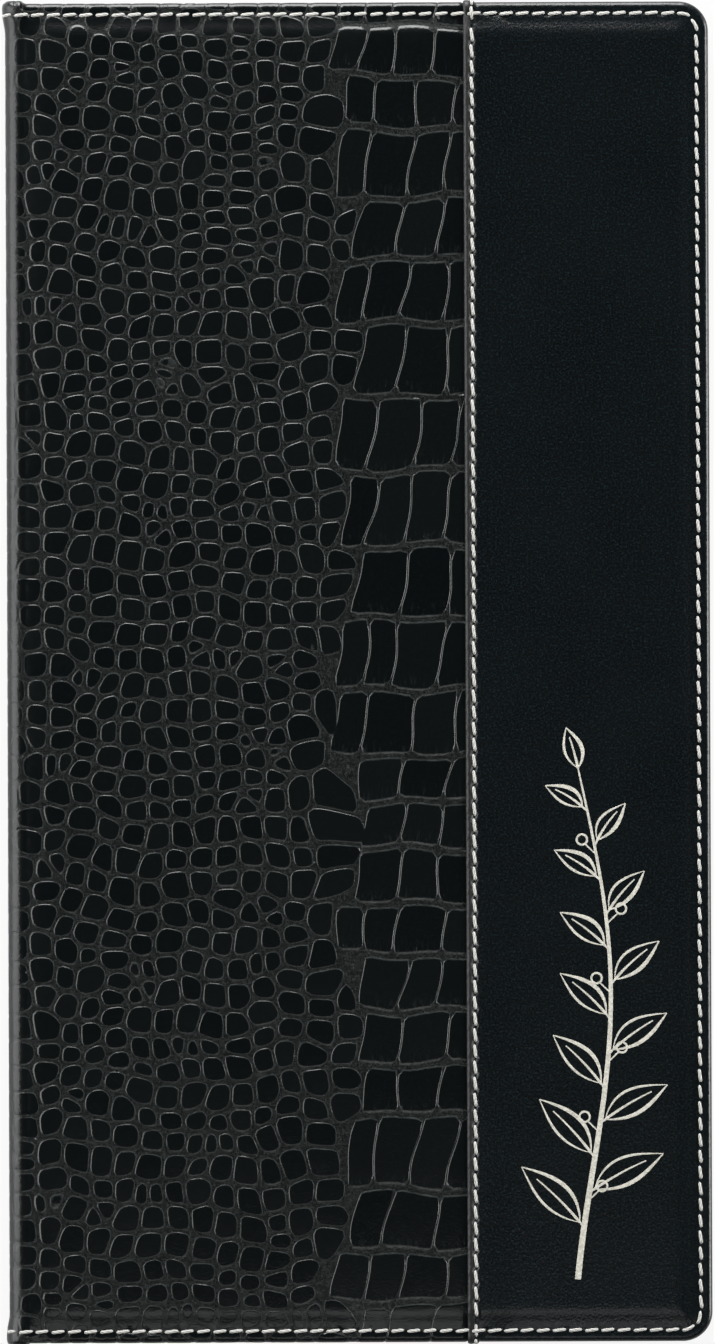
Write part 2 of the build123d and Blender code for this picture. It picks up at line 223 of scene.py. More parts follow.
def new_mesh(name, places, faces, body=None, values=None, smooth=True):
    """An object from places in millimetres and faces, with per-point values to use in its finish."""
    mesh = bpy.data.meshes.new(name)
    mesh.from_pydata((np.asarray(places) * MM).tolist(), [], [list(map(int, f)) for f in faces])
    for key, value in (values or {}).items():
        value = np.asarray(value, dtype=np.float32)
        kind = "FLOAT_VECTOR" if value.ndim == 2 else "FLOAT"
        field = mesh.attributes.new(key, kind, "POINT")
        field.data.foreach_set("vector" if value.ndim == 2 else "value", value.ravel())
    if smooth:
        mesh.shade_smooth()
    mesh.update()
    piece = bpy.data.objects.new(name, mesh)
    bpy.context.scene.collection.objects.link(piece)
    if body:
        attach(piece, body)
    return piece


def flatten_floors(piece, corners, triangles, deep):
    """Shades the grooves' floors flat over the boards, so that the walls' slope doesn't spread there."""
    middle = corners[triangles].mean(axis=1)
    inside = inside_edge(middle[:, 0], middle[:, 1])
    floor = (deep[triangles].max(axis=1) < GROOVE_FLOOR + 0.02) & (inside > 2.2) & (middle[:, 0] > BOARD_X)
    piece.data.polygons.foreach_set("use_smooth", ~floor)


def on_sheet(px, py):
    """Places on the flat sheet as per-point values, for the finishes."""
    return {"sheet": np.stack([px, py, px * 0], axis=1)}


def to_back(places):
    """Front cover places mirrored to the back cover."""
    return places * np.array([1, 1, -1]) + np.array([0, 0, TOP])


def dress(piece, finish):
    piece.data.materials.clear()
    piece.data.materials.append(finish)


def area_of(piece):
    return sum(p.area for p in piece.data.polygons)


def blend_to_spine(piece):
    """Bakes a piece's transform into its mesh."""
    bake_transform(piece)


# Shader maths

class Signal:
    """A shader socket that takes part in Python arithmetic; each operation adds a Math node."""

    def __init__(self, recipe, socket):
        self.recipe = recipe
        self.socket = socket

    def maths(self, operation, *values):
        return self.recipe.node("ShaderNodeMath", {"operation": operation}, dict(enumerate(values)))

    def __add__(self, other):
        return self.maths("ADD", self, other)

    def __radd__(self, other):
        return self.maths("ADD", other, self)

    def __sub__(self, other):
        return self.maths("SUBTRACT", self, other)

    def __rsub__(self, other):
        return self.maths("SUBTRACT", other, self)

    def __mul__(self, other):
        return self.maths("MULTIPLY", self, other)

    def __rmul__(self, other):
        return self.maths("MULTIPLY", other, self)

    def sine(self):
        return self.maths("SINE", self)

    def size(self):
        return self.maths("ABSOLUTE", self)

    def at_least(self, other):
        return self.maths("MAXIMUM", self, other)


class Recipe:
    """One material, with the shader that all its parts feed."""

    def __init__(self, name):
        self.material = bpy.data.materials.new(name)
        self.material.use_nodes = True
        self.tree = self.material.node_tree
        self.tree.nodes.clear()
        self.shader = self.tree.nodes.new("ShaderNodeBsdfPrincipled")
        self.output = self.tree.nodes.new("ShaderNodeOutputMaterial")
        self.tree.links.new(self.shader.outputs[0], self.output.inputs[0])

    @classmethod
    def within(cls, tree):
        """The same helpers for a tree that has no surface shader."""
        recipe = cls.__new__(cls)
        recipe.tree = tree
        return recipe

    def feed(self, socket, value):
        if isinstance(value, Signal):
            self.tree.links.new(value.socket, socket)
        else:
            socket.default_value = value

    def node(self, kind, settings=None, inputs=None, output=0):
        """A node with its settings, and then its inputs as values or signals."""
        made = self.tree.nodes.new(kind)
        for key, value in (settings or {}).items():
            setattr(made, key, value)
        for key, value in (inputs or {}).items():
            self.feed(made.inputs[key], value)
        return Signal(self, made.outputs[output])

    def set(self, **signals):
        for key, value in signals.items():
            self.feed(self.shader.inputs[key.replace("_", " ")], value)

    def value(self, name):
        return self.node("ShaderNodeAttribute", {"attribute_name": name}, output="Fac")

    def place(self, name=None):
        """Millimetres over the flat sheet, or in the object's own space."""
        if name:
            return self.node("ShaderNodeAttribute", {"attribute_name": name}, output="Vector")
        spot = self.node("ShaderNodeTexCoord", output="Object")
        return self.node("ShaderNodeVectorMath", {"operation": "SCALE"}, {0: spot, "Scale": 1 / MM})

    def stretched(self, place, along):
        return self.node("ShaderNodeVectorMath", {"operation": "MULTIPLY"}, {0: place, 1: along})

    def axis(self, place, letter):
        return self.node("ShaderNodeSeparateXYZ", inputs={0: place}, output=letter)

    def noise(self, place, size, detail=2.0, roughness=0.5, distortion=0.0):
        return self.node("ShaderNodeTexNoise", inputs={"Vector": place, "Scale": 1 / size, "Detail": detail,
                                                       "Roughness": roughness, "Distortion": distortion})

    def pebbles(self, place, size, smoothness=0.6):
        return self.node("ShaderNodeTexVoronoi", {"feature": "SMOOTH_F1"},
                         {"Vector": place, "Scale": 1 / size, "Smoothness": smoothness})

    def step(self, signal, low, high):
        return self.node("ShaderNodeMapRange", {"interpolation_type": "SMOOTHSTEP"},
                         {"Value": signal, "From Min": low, "From Max": high})

    def mix(self, share, low, high):
        low, high = ((*c, 1) if isinstance(c, tuple) else c for c in (low, high))
        return self.node("ShaderNodeMix", {"data_type": "RGBA"}, {0: share, 6: low, 7: high}, output=2)

    def bump(self, height, depth, under=None):
        """Normal from a height of 0 to 1 that stands for this depth in millimetres."""
        inputs = {"Height": height, "Distance": depth * MM, "Strength": 1.0}
        if under:
            inputs["Normal"] = under
        return self.node("ShaderNodeBump", inputs=inputs)


# Values that a user would change

def millimetres(name, description, default, low, high):
    return FloatProperty(name=name, description=f"{description}, in millimetres", default=default,
                         min=low, max=high)


def colour_of(name, what, default):
    return FloatVectorProperty(name=name, description=f"Colour of {what}", default=default,
                               subtype="COLOR", size=3, min=0, max=1)


class CoverSizes(bpy.types.PropertyGroup):
    scale_pitch: millimetres("Scale pitch", "Distance between the small scales", 6.1, 3.0, 15.0)
    scale_relief: millimetres("Scale relief", "Depth of the grooves between scales", 0.11, 0.0, 0.4)
    thread: millimetres("Thread", "Width of the thread", 0.78, 0.3, 1.2)
    sprig_height: millimetres("Sprig height", "Length of the printed sprig", 122.0, 20.0, 140.0)
    seed: IntProperty(name="Seed", description="Picks another arrangement of scales", default=7, min=0)


class CoverColours(bpy.types.PropertyGroup):
    leather: colour_of("Smooth leather", "the smooth panel", (0.03, 0.055, 0.064))
    # The turned edge's colour is partly its fuzz and partly a painted sheen on the raised lap beside the seam
    cut_edge: colour_of("Turned edge", "the lapped edge beside the seam", (0.1, 0.102, 0.1))
    scale: colour_of("Scales", "the scales' tops", (0.014, 0.03, 0.036))
    groove: colour_of("Grooves", "the grooves between the scales", (0.018, 0.028, 0.032))
    # The rims' colour is a painted highlight that stands in for light on the scales' rounded edges; the same
    # pale colour also tints dust and wrinkles
    rim: colour_of("Rims", "the worn rims of the scales", (0.25, 0.265, 0.26))
    thread: colour_of("Thread", "the thread", (0.83, 0.825, 0.805))
    lining: colour_of("Lining", "the lining cloth", (0.11, 0.11, 0.12))
    print_ink: colour_of("Print", "the printed sprig", (0.86, 0.85, 0.8))
    card: colour_of("Card", "the menu cards", (0.93, 0.91, 0.86))


def sizes():
    return bpy.context.scene.cover_sizes


def tinted(name, scale=1.0):
    """A chosen screen colour's linear value, made lighter or darker."""
    colour = getattr(bpy.context.scene.cover_colours, name)
    return tuple(scale * (c / 12.92 if c <= 0.04045 else ((c + 0.055) / 1.055) ** 2.4) for c in colour[:3])


# Finishes

LEATHER_IOR = 1.6
WEAVE_PITCH = 0.55
TAPE_RIB = 0.6
WHITE = (1, 1, 1, 1)


def scale_leather(recipe):
    """Embossed leatherette: near-black scales with a painted highlight along their creased rims, patchy with
    wear, and plain grooves between them.
    """
    sheet = recipe.place("sheet")
    deep = recipe.value("scale_depth")
    tone = recipe.value("tone")
    foot = recipe.value("plate_foot")
    spine = 1 - recipe.step(recipe.axis(sheet, "X"), BOARD_X - 3.5, BOARD_X - 0.5)
    edge = deep + (recipe.noise(sheet, 1.1, 3) - 0.5) * 0.3
    groove = (1 - recipe.step(edge, GROOVE_FLOOR, 0.36)) * (1 - spine * 0.7)
    # Where the painted highlight lies along each scale's rim, fainter on the spine
    rim = recipe.step(edge, 0.26, 0.36) * (1 - recipe.step(edge, 0.44, 0.62)) * (1 - spine * 0.7)
    wear = recipe.step(recipe.noise(sheet, 2.2, 4, 0.6), 0.3, 0.7)
    across = (recipe.noise(recipe.stretched(sheet, (2.4, 0.7, 1.0)), 1.5, 3, 0.6, 0.6) * 2 - 1).size()
    along = (recipe.noise(recipe.stretched(sheet, (0.7, 2.4, 1.0)), 1.5, 3, 0.6, 0.6) * 2 - 1).size()
    wrinkles = (1 - recipe.step(across, 0.0, 0.06)) + (1 - recipe.step(along, 0.0, 0.06))
    colour = recipe.mix(groove, tinted("scale"), tinted("groove"))
    # Painted highlight on the rims, patchy with wear, and pale wrinkles in the grooves
    colour = recipe.mix(rim * (0.3 + wear * 0.6) + wrinkles * groove * 0.55, colour, tinted("rim"))
    streaks = recipe.noise(recipe.stretched(sheet, (1.6, 0.35, 1.0)), 1.0, 2, 0.5, 0.4)
    streaks = recipe.step(streaks, 0.52, 0.72) * foot
    dust = recipe.step(recipe.noise(sheet, 0.6, 3), 0.5, 0.8) * 0.05 + tone * 0.04 + streaks * 0.13
    # Dust, random tone and streaks at the plates' feet take the same pale colour as the painted rim highlight
    colour = recipe.mix(dust, colour, tinted("rim"))
    folds = (1 - along) * (0.03 + spine * 0.35) * (1 - groove)
    normal = recipe.bump(folds + streaks * 0.3, 0.1)
    normal = recipe.bump(recipe.pebbles(sheet, 0.42), 0.02, normal)
    normal = recipe.bump(recipe.noise(sheet, 0.16, 2), 0.005, normal)
    rough = 0.17 + groove * 0.08 + recipe.noise(sheet, 1.6, 3) * 0.06 + spine * 0.1
    recipe.set(IOR=LEATHER_IOR, Base_Color=colour, Roughness=rough, Normal=normal)


def smooth_leather(recipe):
    """Plain leatherette with a fine pebbled grain, fuzzy along its turned edge, where a painted sheen
    lightens the raised lap.
    """
    sheet = recipe.place("sheet")
    cloud = recipe.noise(sheet, 22.0, 3)
    grain = recipe.pebbles(sheet, 0.6)
    speck = recipe.noise(sheet, 0.5, 3, 0.6)
    colour = recipe.mix(recipe.step(cloud, 0.3, 0.7), tinted("leather", 0.6), tinted("leather"))
    colour = recipe.mix(recipe.step(speck, 0.46, 0.62), colour, tinted("leather", 3.6))
    pores = recipe.step(grain, 0.25, 0.6)
    colour = recipe.mix(pores * 0.6, colour, tinted("leather", 0.3))
    fuzz = recipe.noise(recipe.stretched(sheet, (1.0, 0.4, 1.0)), 0.5, 4, 0.65)
    edge = recipe.step(recipe.axis(sheet, "X") + (fuzz - 0.5) * 0.6, WELT_X + 2.1, WELT_X + 1.4)
    # The strip beside the welt is lightened by its fuzz and by a painted sheen where the raised lap catches
    # the light
    colour = recipe.mix(edge * (0.3 + fuzz), colour, tinted("cut_edge"))
    normal = recipe.bump(1 - grain, 0.035)
    normal = recipe.bump(speck, 0.03, normal)
    normal = recipe.bump(fuzz * edge, 0.07, normal)
    rough = 0.18 + pores * 0.06 + cloud * 0.03 + edge * 0.2
    recipe.set(IOR=LEATHER_IOR, Base_Color=colour, Roughness=rough, Normal=normal)


def sewing_thread(recipe):
    """Bonded off-white thread, with painted shade that makes it darker between its plies."""
    place = recipe.place()
    ply = recipe.value("ply")
    fibres = recipe.noise(recipe.stretched(place, (6.0, 2.0, 6.0)), 0.5, 3)
    # Painted shade: the thread is darker in the twist between its plies
    colour = recipe.mix(recipe.step(ply, 0.0, 0.6), tinted("thread", 0.55), tinted("thread"))
    colour = recipe.mix(recipe.step(fibres, 0.45, 0.8) * 0.3, colour, tinted("thread", 0.8))
    recipe.set(IOR=1.5, Base_Color=colour, Roughness=0.55 + fibres * 0.25, Normal=recipe.bump(fibres, 0.03))


def lining_cloth(recipe):
    """Black plain-woven lining, its warp and weft raised in turn, with painted light on the raised yarns and
    painted shade between them.
    """
    sheet = recipe.place("sheet")
    warp = (recipe.axis(sheet, "X") * (2 * math.pi / WEAVE_PITCH)).sine()
    weft = (recipe.axis(sheet, "Y") * (2 * math.pi / WEAVE_PITCH)).sine()
    weave = warp * weft * 0.5 + 0.5
    slub = recipe.noise(recipe.stretched(sheet, (0.25, 3.0, 1.0)), 1.0, 3)
    # Painted light and shade: lighter where the yarn crossings and slubs stand up, darker between them
    light = weave * 0.6 + slub * 0.3
    colour = recipe.mix(light, tinted("lining", 0.5), tinted("lining", 1.4))
    normal = recipe.bump(weave, 0.05)
    normal = recipe.bump(slub, 0.06, normal)
    recipe.set(IOR=1.4, Base_Color=colour, Roughness=0.6 + weave * 0.2, Normal=normal)


def clear_film(recipe):
    """Clear pocket film with faint scuffs."""
    scuffs = recipe.step(recipe.noise(recipe.stretched(recipe.place(), (0.3, 2.0, 1.0)), 2.0, 4), 0.5, 0.8)
    recipe.set(IOR=1.5, Base_Color=(0.9, 0.92, 0.93, 1), Alpha=0.16 + scuffs * 0.08,
               Roughness=0.1 + scuffs * 0.25)


def woven_ribbon(recipe):
    """Ribbed black tape that binds the pocket's mouth, with painted light on its ribs and painted shade
    between them.
    """
    place = recipe.place()
    ribs = (recipe.axis(place, "X") * (2 * math.pi / TAPE_RIB)).sine() * 0.5 + 0.5
    fluff = recipe.noise(place, 0.5, 3)
    # Painted light on the ribs' crowns and painted shade between them, with uneven fluff
    light = ribs * 0.7 + fluff * 0.3
    colour = recipe.mix(light, tinted("lining", 0.5), tinted("lining", 1.8))
    recipe.set(IOR=1.4, Base_Color=colour, Roughness=0.55 + fluff * 0.2, Normal=recipe.bump(ribs, 0.08))


def grey_board(recipe):
    """Pressed grey board with short fibres."""
    place = recipe.place()
    flecks = recipe.noise(recipe.stretched(place, (1.0, 2.2, 3.0)), 1.4, 5, 0.65)
    colour = recipe.mix(recipe.step(flecks, 0.35, 0.7), (0.22, 0.2, 0.175), (0.36, 0.335, 0.295))
    recipe.set(IOR=1.45, Base_Color=colour, Roughness=0.8 + flecks * 0.15, Normal=recipe.bump(flecks, 0.08))


def foam(recipe):
    """Pale sheet foam with small open cells."""
    place = recipe.place()
    bubbles = recipe.pebbles(place, 0.6)
    colour = recipe.mix(bubbles, (0.68, 0.66, 0.58), (0.5, 0.48, 0.4))
    recipe.set(IOR=1.35, Base_Color=colour, Roughness=0.85 + bubbles * 0.1, Normal=recipe.bump(bubbles, 0.1))


def card_stock(recipe):
    """Uncoated ivory card with a faint tooth."""
    place = recipe.place()
    tooth = recipe.noise(recipe.stretched(place, (1.0, 1.0, 0.2)), 0.5, 4, 0.6)
    cloud = recipe.noise(place, 14.0, 2)
    colour = recipe.mix(tooth * 0.5 + cloud * 0.5, tinted("card", 0.88), tinted("card", 1.02))
    recipe.set(IOR=1.45, Base_Color=colour, Roughness=0.75 + tooth * 0.15, Normal=recipe.bump(tooth, 0.015))


def printing_ink(recipe):
    """Off-white screen print, slightly uneven where it lies in the grain."""
    place = recipe.place()
    worn = recipe.step(recipe.noise(place, 0.6, 4, 0.6), 0.35, 0.6)
    grain = recipe.pebbles(place, 0.55)
    colour = recipe.mix(worn, tinted("print_ink", 0.72), tinted("print_ink"))
    recipe.set(IOR=1.45, Base_Color=colour, Roughness=0.5 + grain * 0.2, Normal=recipe.bump(1 - grain, 0.06))


FINISHES = {}


def finish_of(make):
    """The material that a function fills in, made once."""
    if make.__name__ not in FINISHES:
        recipe = Recipe(make.__name__)
        make(recipe)
        FINISHES[make.__name__] = recipe.material
    return FINISHES[make.__name__]


# Scales: small rounded ones in columns, and the belly, a band of rows of large plates

BELLY_LEFT = -2.0
BACK_BELLY = (-26.0, 30.0)
BELLY_ROWS = (13.5, 12.2, 12.4, 16.5, 14.8, 15.1, 17.2, 17.9, 18.4, 17.0, 16.8, 16.0, 11.0, 11.2, 13.2, 12.0,
              13.2, 13.2, 12.0, 17.9, 14.4, 12.0, 14.0, 15.0)
BELLY_PITCH = 10.2
BELLY_HEAD = 167.8
NEAR_PLATES = 8
PLATE_MARGIN = 1.5
COLUMN_REACH = 176
SCATTER = 0.13
TWINS = 0.09
CELL_REACH = 25
LARGE_SHARPNESS = 2.6
SMALL_SHARPNESS = 2.0


def warped(x, y):
    """Slow waves that bend the rows and columns of scales."""
    return (x + 2.0 * math.sin(y / 31 + 1.3) + 1.0 * math.sin(y / 13 + x / 23),
            y + 1.9 * math.sin(x / 19 + 0.7) + 0.9 * math.sin(x / 8 + y / 27))


def plate_rows(chance, left, right, spread):
    """Rows of large plates from the head: top, foot, and slanted splits from the right as place and lean."""
    rows, top = [], BELLY_HEAD
    for height in BELLY_ROWS:
        x = right + chance.uniform(*spread)
        splits = [(x, chance.uniform(0.06, 0.24))]
        while x > left + 3.6:
            x -= BELLY_PITCH * chance.uniform(0.86, 1.14) * (1.0 if x - left > 12 else 0.72)
            splits.append((x, chance.uniform(0.06, 0.26)))
        rows.append((top, top - height, splits))
        top -= height
    return rows


def plates(chance, rows):
    """Each plate's middle with its four sides, as directions and distances."""
    found, tilts = [], [chance.uniform(-0.035, 0.035) for _ in range(len(rows) + 1)]
    for number, (top, foot, splits) in enumerate(rows):
        middle_x = (splits[0][0] + splits[-1][0]) / 2
        for (after, after_lean), (before, before_lean) in zip(splits, splits[1:]):
            centre = np.array([(before + after) / 2, (top + foot) / 2])
            past = centre[0] - middle_x
            lines = (((-tilts[number], 1.0), (0.0, top + tilts[number] * past - centre[1])),
                     ((tilts[number + 1], -1.0), (0.0, foot + tilts[number + 1] * past - centre[1])),
                     ((1.0, -after_lean), (after - centre[0], 0.0)),
                     ((-1.0, before_lean), (before - centre[0], 0.0)))
            sides = np.array([np.array(way) / np.hypot(*way) for way, _ in lines])
            spans = np.array([side @ np.array(point) for side, (_, point) in zip(sides, lines)])
            found.append((centre, sides, spans))
    return found


def beside_plates(x, y, rows):
    """Mirror images of a small scale's centre across the plates near it, or None if it is too close."""
    images = []
    for top, foot, splits in rows:
        if not foot - NEAR_PLATES < y < top + NEAR_PLATES:
            continue
        level = min(max(y, foot), top)
        lean = level - (top + foot) / 2
        low, high = (place + slant * lean for place, slant in (splits[-1], splits[0]))
        at = min(max(x, low), high)
        away = math.hypot(at - x, level - y)
        if away < PLATE_MARGIN:
            return None
        if away < NEAR_PLATES:
            images.append((2 * at - x, 2 * level - y))
    return images


def small_seeds(chance, left, right, pitch, belly_left):
    """Centres of the small scales in rows that run on from column to column, growing towards the plates."""
    found, x = [], left + 1.5
    rows = [-COLUMN_REACH + pitch * k for k in range(int(2 * COLUMN_REACH / pitch) + 1)]
    while x < right:
        local = pitch * (1 + 0.3 * max(0.0, 1 - abs(belly_left - x) / 20))
        shift = chance.uniform(-0.2, 0.2) * local
        loose = [y + shift + chance.uniform(-SCATTER, SCATTER) * local for y in rows]
        rows = loose[:1]
        for y in loose[1:]:
            gap = y - rows[-1]
            if gap > 1.42 * local:
                rows.append(y - gap / 2)
            if gap > 0.68 * local:
                rows.append(y)
        for y in rows:
            spot = (x + chance.uniform(-SCATTER, SCATTER) * local, y)
            if chance.random() < TWINS and local < 1.15 * pitch:
                lean, reach = chance.uniform(0, math.pi), 0.27 * local
                for sign in (-1, 1):
                    found.append((*warped(spot[0] + sign * reach * math.cos(lean),
                                          spot[1] + sign * reach * math.sin(lean)), -0.05 * local))
            else:
                found.append((*warped(*spot), chance.uniform(-0.06, 0.14) * local))
        x += local * chance.uniform(0.92, 1.04)
    return [f for f in found if f[0] < right + 1.0]


def scale_cells(left, right, half, belly, seed):
    """Scales over a sheet: centre, sides as directions and distances, outline, steepness and tone."""
    chance = random.Random(seed)
    pitch = sizes().scale_pitch
    open_side = belly[1] > right - 5
    rows = plate_rows(chance, *belly, (2.5, 9.0) if open_side else (-2.0, 2.0))
    seeds = small_seeds(chance, left, belly[0] + 6, pitch, belly[0])
    if not open_side:
        seeds += small_seeds(chance, belly[1] - 4, right, pitch, 999)
    places, images = [], []
    for x, y, weight in seeds:
        mirrored = beside_plates(x, y, rows)
        if mirrored is not None:
            places.append((x, y, weight))
            images += [(*image, weight) for image in mirrored]
    everything = np.array(places + images)
    spots, weights = everything[:, :2], everything[:, 2]
    shapes = []
    for i in range(len(places)):
        away = spots - spots[i]
        reach = np.hypot(away[:, 0], away[:, 1])
        near = [k for k in np.argsort(reach)[1:21] if reach[k] > 1e-6]
        sides = away[near] / reach[near, None]
        shapes.append((spots[i], sides, reach[near] / 2 + (weights[i] - weights[near]) * 0.5, False))
    shapes += [(*plate, True) for plate in plates(chance, rows)]
    cells = []
    for centre, sides, spans, large in shapes:
        ring = [(centre[0] + a * CELL_REACH, centre[1] + b * CELL_REACH)
                for a, b in ((-1, -1), (1, -1), (1, 1), (-1, 1))]
        limits = [((-1, 0), centre[0] - left), ((1, 0), right - centre[0]),
                  ((0, -1), centre[1] + half), ((0, 1), half - centre[1])]
        for side, span in [*zip(sides, spans), *limits]:
            ring = clipped(ring, centre, side, span)
            if len(ring) < 3:
                break
        if len(ring) < 3:
            continue
        used = [k for k, (side, span) in enumerate(zip(sides, spans))
                if any(abs(beyond(p, centre, side, span)) < 1e-6 for p in ring)]
        worth = np.array([chance.uniform(0.75, 1.45) for _ in used])
        if large:
            worth = np.where(np.abs(sides[used][:, 1]) > 0.75, 0.5, 1.9) * (0.85 + 0.25 * worth)
        cells.append({"centre": np.asarray(centre), "sides": sides[used], "spans": spans[used], "ring": ring,
                      "worth": worth, "tone": chance.random(), "large": large})
    return cells


def beyond(point, centre, side, span):
    """How far a point lies past a side that is a distance from the centre."""
    return (point[0] - centre[0]) * side[0] + (point[1] - centre[1]) * side[1] - span


def clipped(ring, centre, side, span):
    """The part of an outline within a distance of the centre along one direction."""
    depths = [beyond(p, centre, side, span) for p in ring]
    made = []
    for k, point in enumerate(ring):
        after, depth, next_depth = ring[(k + 1) % len(ring)], depths[k], depths[(k + 1) % len(ring)]
        if depth <= 0:
            made.append(point)
        if (depth < 0 < next_depth) or (next_depth < 0 < depth):
            t = depth / (depth - next_depth)
            made.append((point[0] + t * (after[0] - point[0]), point[1] + t * (after[1] - point[1])))
    return made


def depth_in(cell, points):
    """Distance from the middle of the groove, rounded off where two sides meet."""
    if not len(cell["spans"]):
        return np.full(len(points), 5.0)
    gaps = (cell["spans"][None, :] - (points - cell["centre"]) @ cell["sides"].T) * cell["worth"]
    sharp = LARGE_SHARPNESS if cell["large"] else SMALL_SHARPNESS
    return -np.log(np.exp(-sharp * np.clip(gaps, -5, 30)).sum(axis=1)) / sharp


def cell_lines(cell, spacing, levels):
    """A scale's outline points, closed rings of points up its sides and over its rim, and its centre."""
    ring = [np.array(p) for p in cell["ring"]]
    outline = []
    for start, end in zip(ring, ring[1:] + ring[:1]):
        low, high = (start, end) if tuple(start) < tuple(end) else (end, start)
        steps = max(1, round(float(np.hypot(*(high - low))) / spacing))
        outline += [low + (high - low) * k / steps for k in range(steps + 1)]
    centre = np.mean(ring, axis=0)
    around = float(sum(np.hypot(*(b - a)) for a, b in zip(ring, ring[1:] + ring[:1])))
    count = max(8, round(around * 0.88 / spacing))
    turn = np.arange(count) / count * 2 * math.pi + cell["tone"] * 6
    rays = np.stack([np.cos(turn), np.sin(turn)], axis=1)
    rings = []
    best = float(depth_in(cell, centre[None, :])[0])
    for level in levels:
        if best < level + 0.1:
            break
        low, high = np.zeros(count), np.full(count, 30.0)
        for _ in range(20):
            middle = (low + high) / 2
            deep = depth_in(cell, centre + rays * middle[:, None]) > level
            low, high = np.where(deep, middle, low), np.where(deep, high, middle)
        rings.append(centre + rays * low[:, None])
    return outline, rings, centre


POINT_GAP = 0.36
EDGE_DEPTHS = (6.2, 5.3, 4.5, 3.7, 2.8, 2.0, 1.3, 0.8, 0.3, -0.2, -0.7, -1.6, -2.5, -3.4)
RIM_DEPTH = 0.56
RIM_RISE = 0.012
DOME_RISE = 0.07
DOME_DEPTH = 2.6


def scale_sheet(left, right, half, belly, seed, spacing, levels):
    """Places of an embossed sheet's points, its triangles, values for the finish, and relief."""
    cells = scale_cells(left, right, half, belly, seed)
    points, lines, extra, count = [], [], [], 0
    for cell in cells:
        outline, rings, centre = cell_lines(cell, spacing * (1.25 if cell["large"] else 1.0), levels)
        for ring in rings:
            places = np.arange(len(ring)) + count
            points.append(ring)
            lines.append(np.stack([places, np.roll(places, -1)], axis=1))
            count += len(ring)
        extra += [tuple(p) for p in outline] + [tuple(centre)]
    points, lines = np.concatenate(points), np.concatenate(lines)

    def held(px, py):
        within = inside_edge(px, py) > sheet_reach(px) - 1e-6
        return within & (px > left - 1e-3) & (px < right + 1e-3) & (np.abs(py) < half + 1e-3)

    inside = held(points[:, 0], points[:, 1])
    number = np.cumsum(inside) - 1
    lines = number[lines[inside[lines].all(axis=1)]]
    points = points[inside]
    for depth in EDGE_DEPTHS:
        extra += [(x, sign * (HALF_HEIGHT - depth))
                  for x in np.arange(left, right + 0.01, 1.0) for sign in (-1, 1)]
    upright = [ARC_X - SPINE_RADIUS * 1.57 * k / 5 for k in range(6)]
    upright += [BOARD_X + a for a in (-1.0, -0.55, -0.1, 0.7, 1.4, 2.1)] + [left, right]
    for x in upright:
        extra += [(x, y) for y in np.arange(-half, half + 0.01, 1.1)]
    extra += [(x, y) for x in np.arange(left + 1, right, 2.4) for y in np.arange(-half + 1, half, 2.4)]
    if right > FORE_X - 10:
        extra += edge_rows(1.0)
    extra = np.array(extra)
    extra = extra[held(extra[:, 0], extra[:, 1])]
    points = np.concatenate([points, spaced(extra, points.tolist(), POINT_GAP)])
    # The triangles are laid over the waved points, and the waves are then taken off again to find the depths
    corners, triangles = triangulated(points + wandering(points, left, right, half), lines.tolist())
    waved = corners
    for _ in range(8):
        corners = waved - wandering(corners, left, right, half)
    middle = corners[triangles].mean(axis=1)
    triangles = triangles[held(middle[:, 0], middle[:, 1])]
    deep, tone, foot = np.full(len(corners), -9.0), np.zeros(len(corners)), np.zeros(len(corners))
    for cell in cells:
        near = np.nonzero(np.abs(corners - cell["centre"]).max(axis=1) < 16)[0]
        value = depth_in(cell, corners[near])
        better = value > deep[near]
        nearer = near[better]
        deep[nearer], tone[nearer] = value[better], cell["tone"]
        if cell["large"]:
            low = min(p[1] for p in cell["ring"])
            foot[nearer] = 1 - eased((corners[nearer][:, 1] - low - 1.5) / 3.0)
        else:
            foot[nearer] = 0
    deep = np.maximum(deep, 0)
    relief = (sizes().scale_relief * (eased((deep - GROOVE_FLOOR) / 0.3) - 1)
              + RIM_RISE * bell((deep - RIM_DEPTH) / 0.16))
    relief = relief + DOME_RISE * eased(deep / DOME_DEPTH)
    return waved, triangles, {"scale_depth": deep, "tone": tone, "plate_foot": foot}, relief


def wandering(points, left, right, half):
    """Slow waves that move points of the sheet, except near its ends, so that no groove is straight."""
    x, y = points[:, 0], points[:, 1]
    share = eased((x - left - 9) / 7) * eased((half - 7.5 - np.abs(y)) / 6)
    across = 0.4 * np.sin(y / 2.9 + x / 13) + 0.45 * np.sin(y / 6.3 - x / 9 + 1)
    along = 0.42 * np.sin(x / 3.1 + y / 17) + 0.5 * np.sin(x / 6.7 - y / 11 + 2)
    return np.stack([across * share * eased((right - x) / 5), along * share], axis=1)


def edge_rows(spacing):
    """Rows of points that follow the fore edge and its corners, from the field's foot to the hem."""
    made = []
    for inside in (*EDGE_DEPTHS, -5.0, -7.0):
        radius = CORNER_RADIUS - inside
        x, y = FORE_X - CORNER_RADIUS, HALF_HEIGHT - CORNER_RADIUS
        made += [(x + radius, v) for v in np.arange(-y, y + 0.01, spacing)]
        for turn in np.arange(0, math.pi / 2 + 0.01, spacing / max(radius, 3.0)):
            made += [(x + radius * math.cos(turn), sign * (y + radius * math.sin(turn))) for sign in (-1, 1)]
    return made


# Stitches

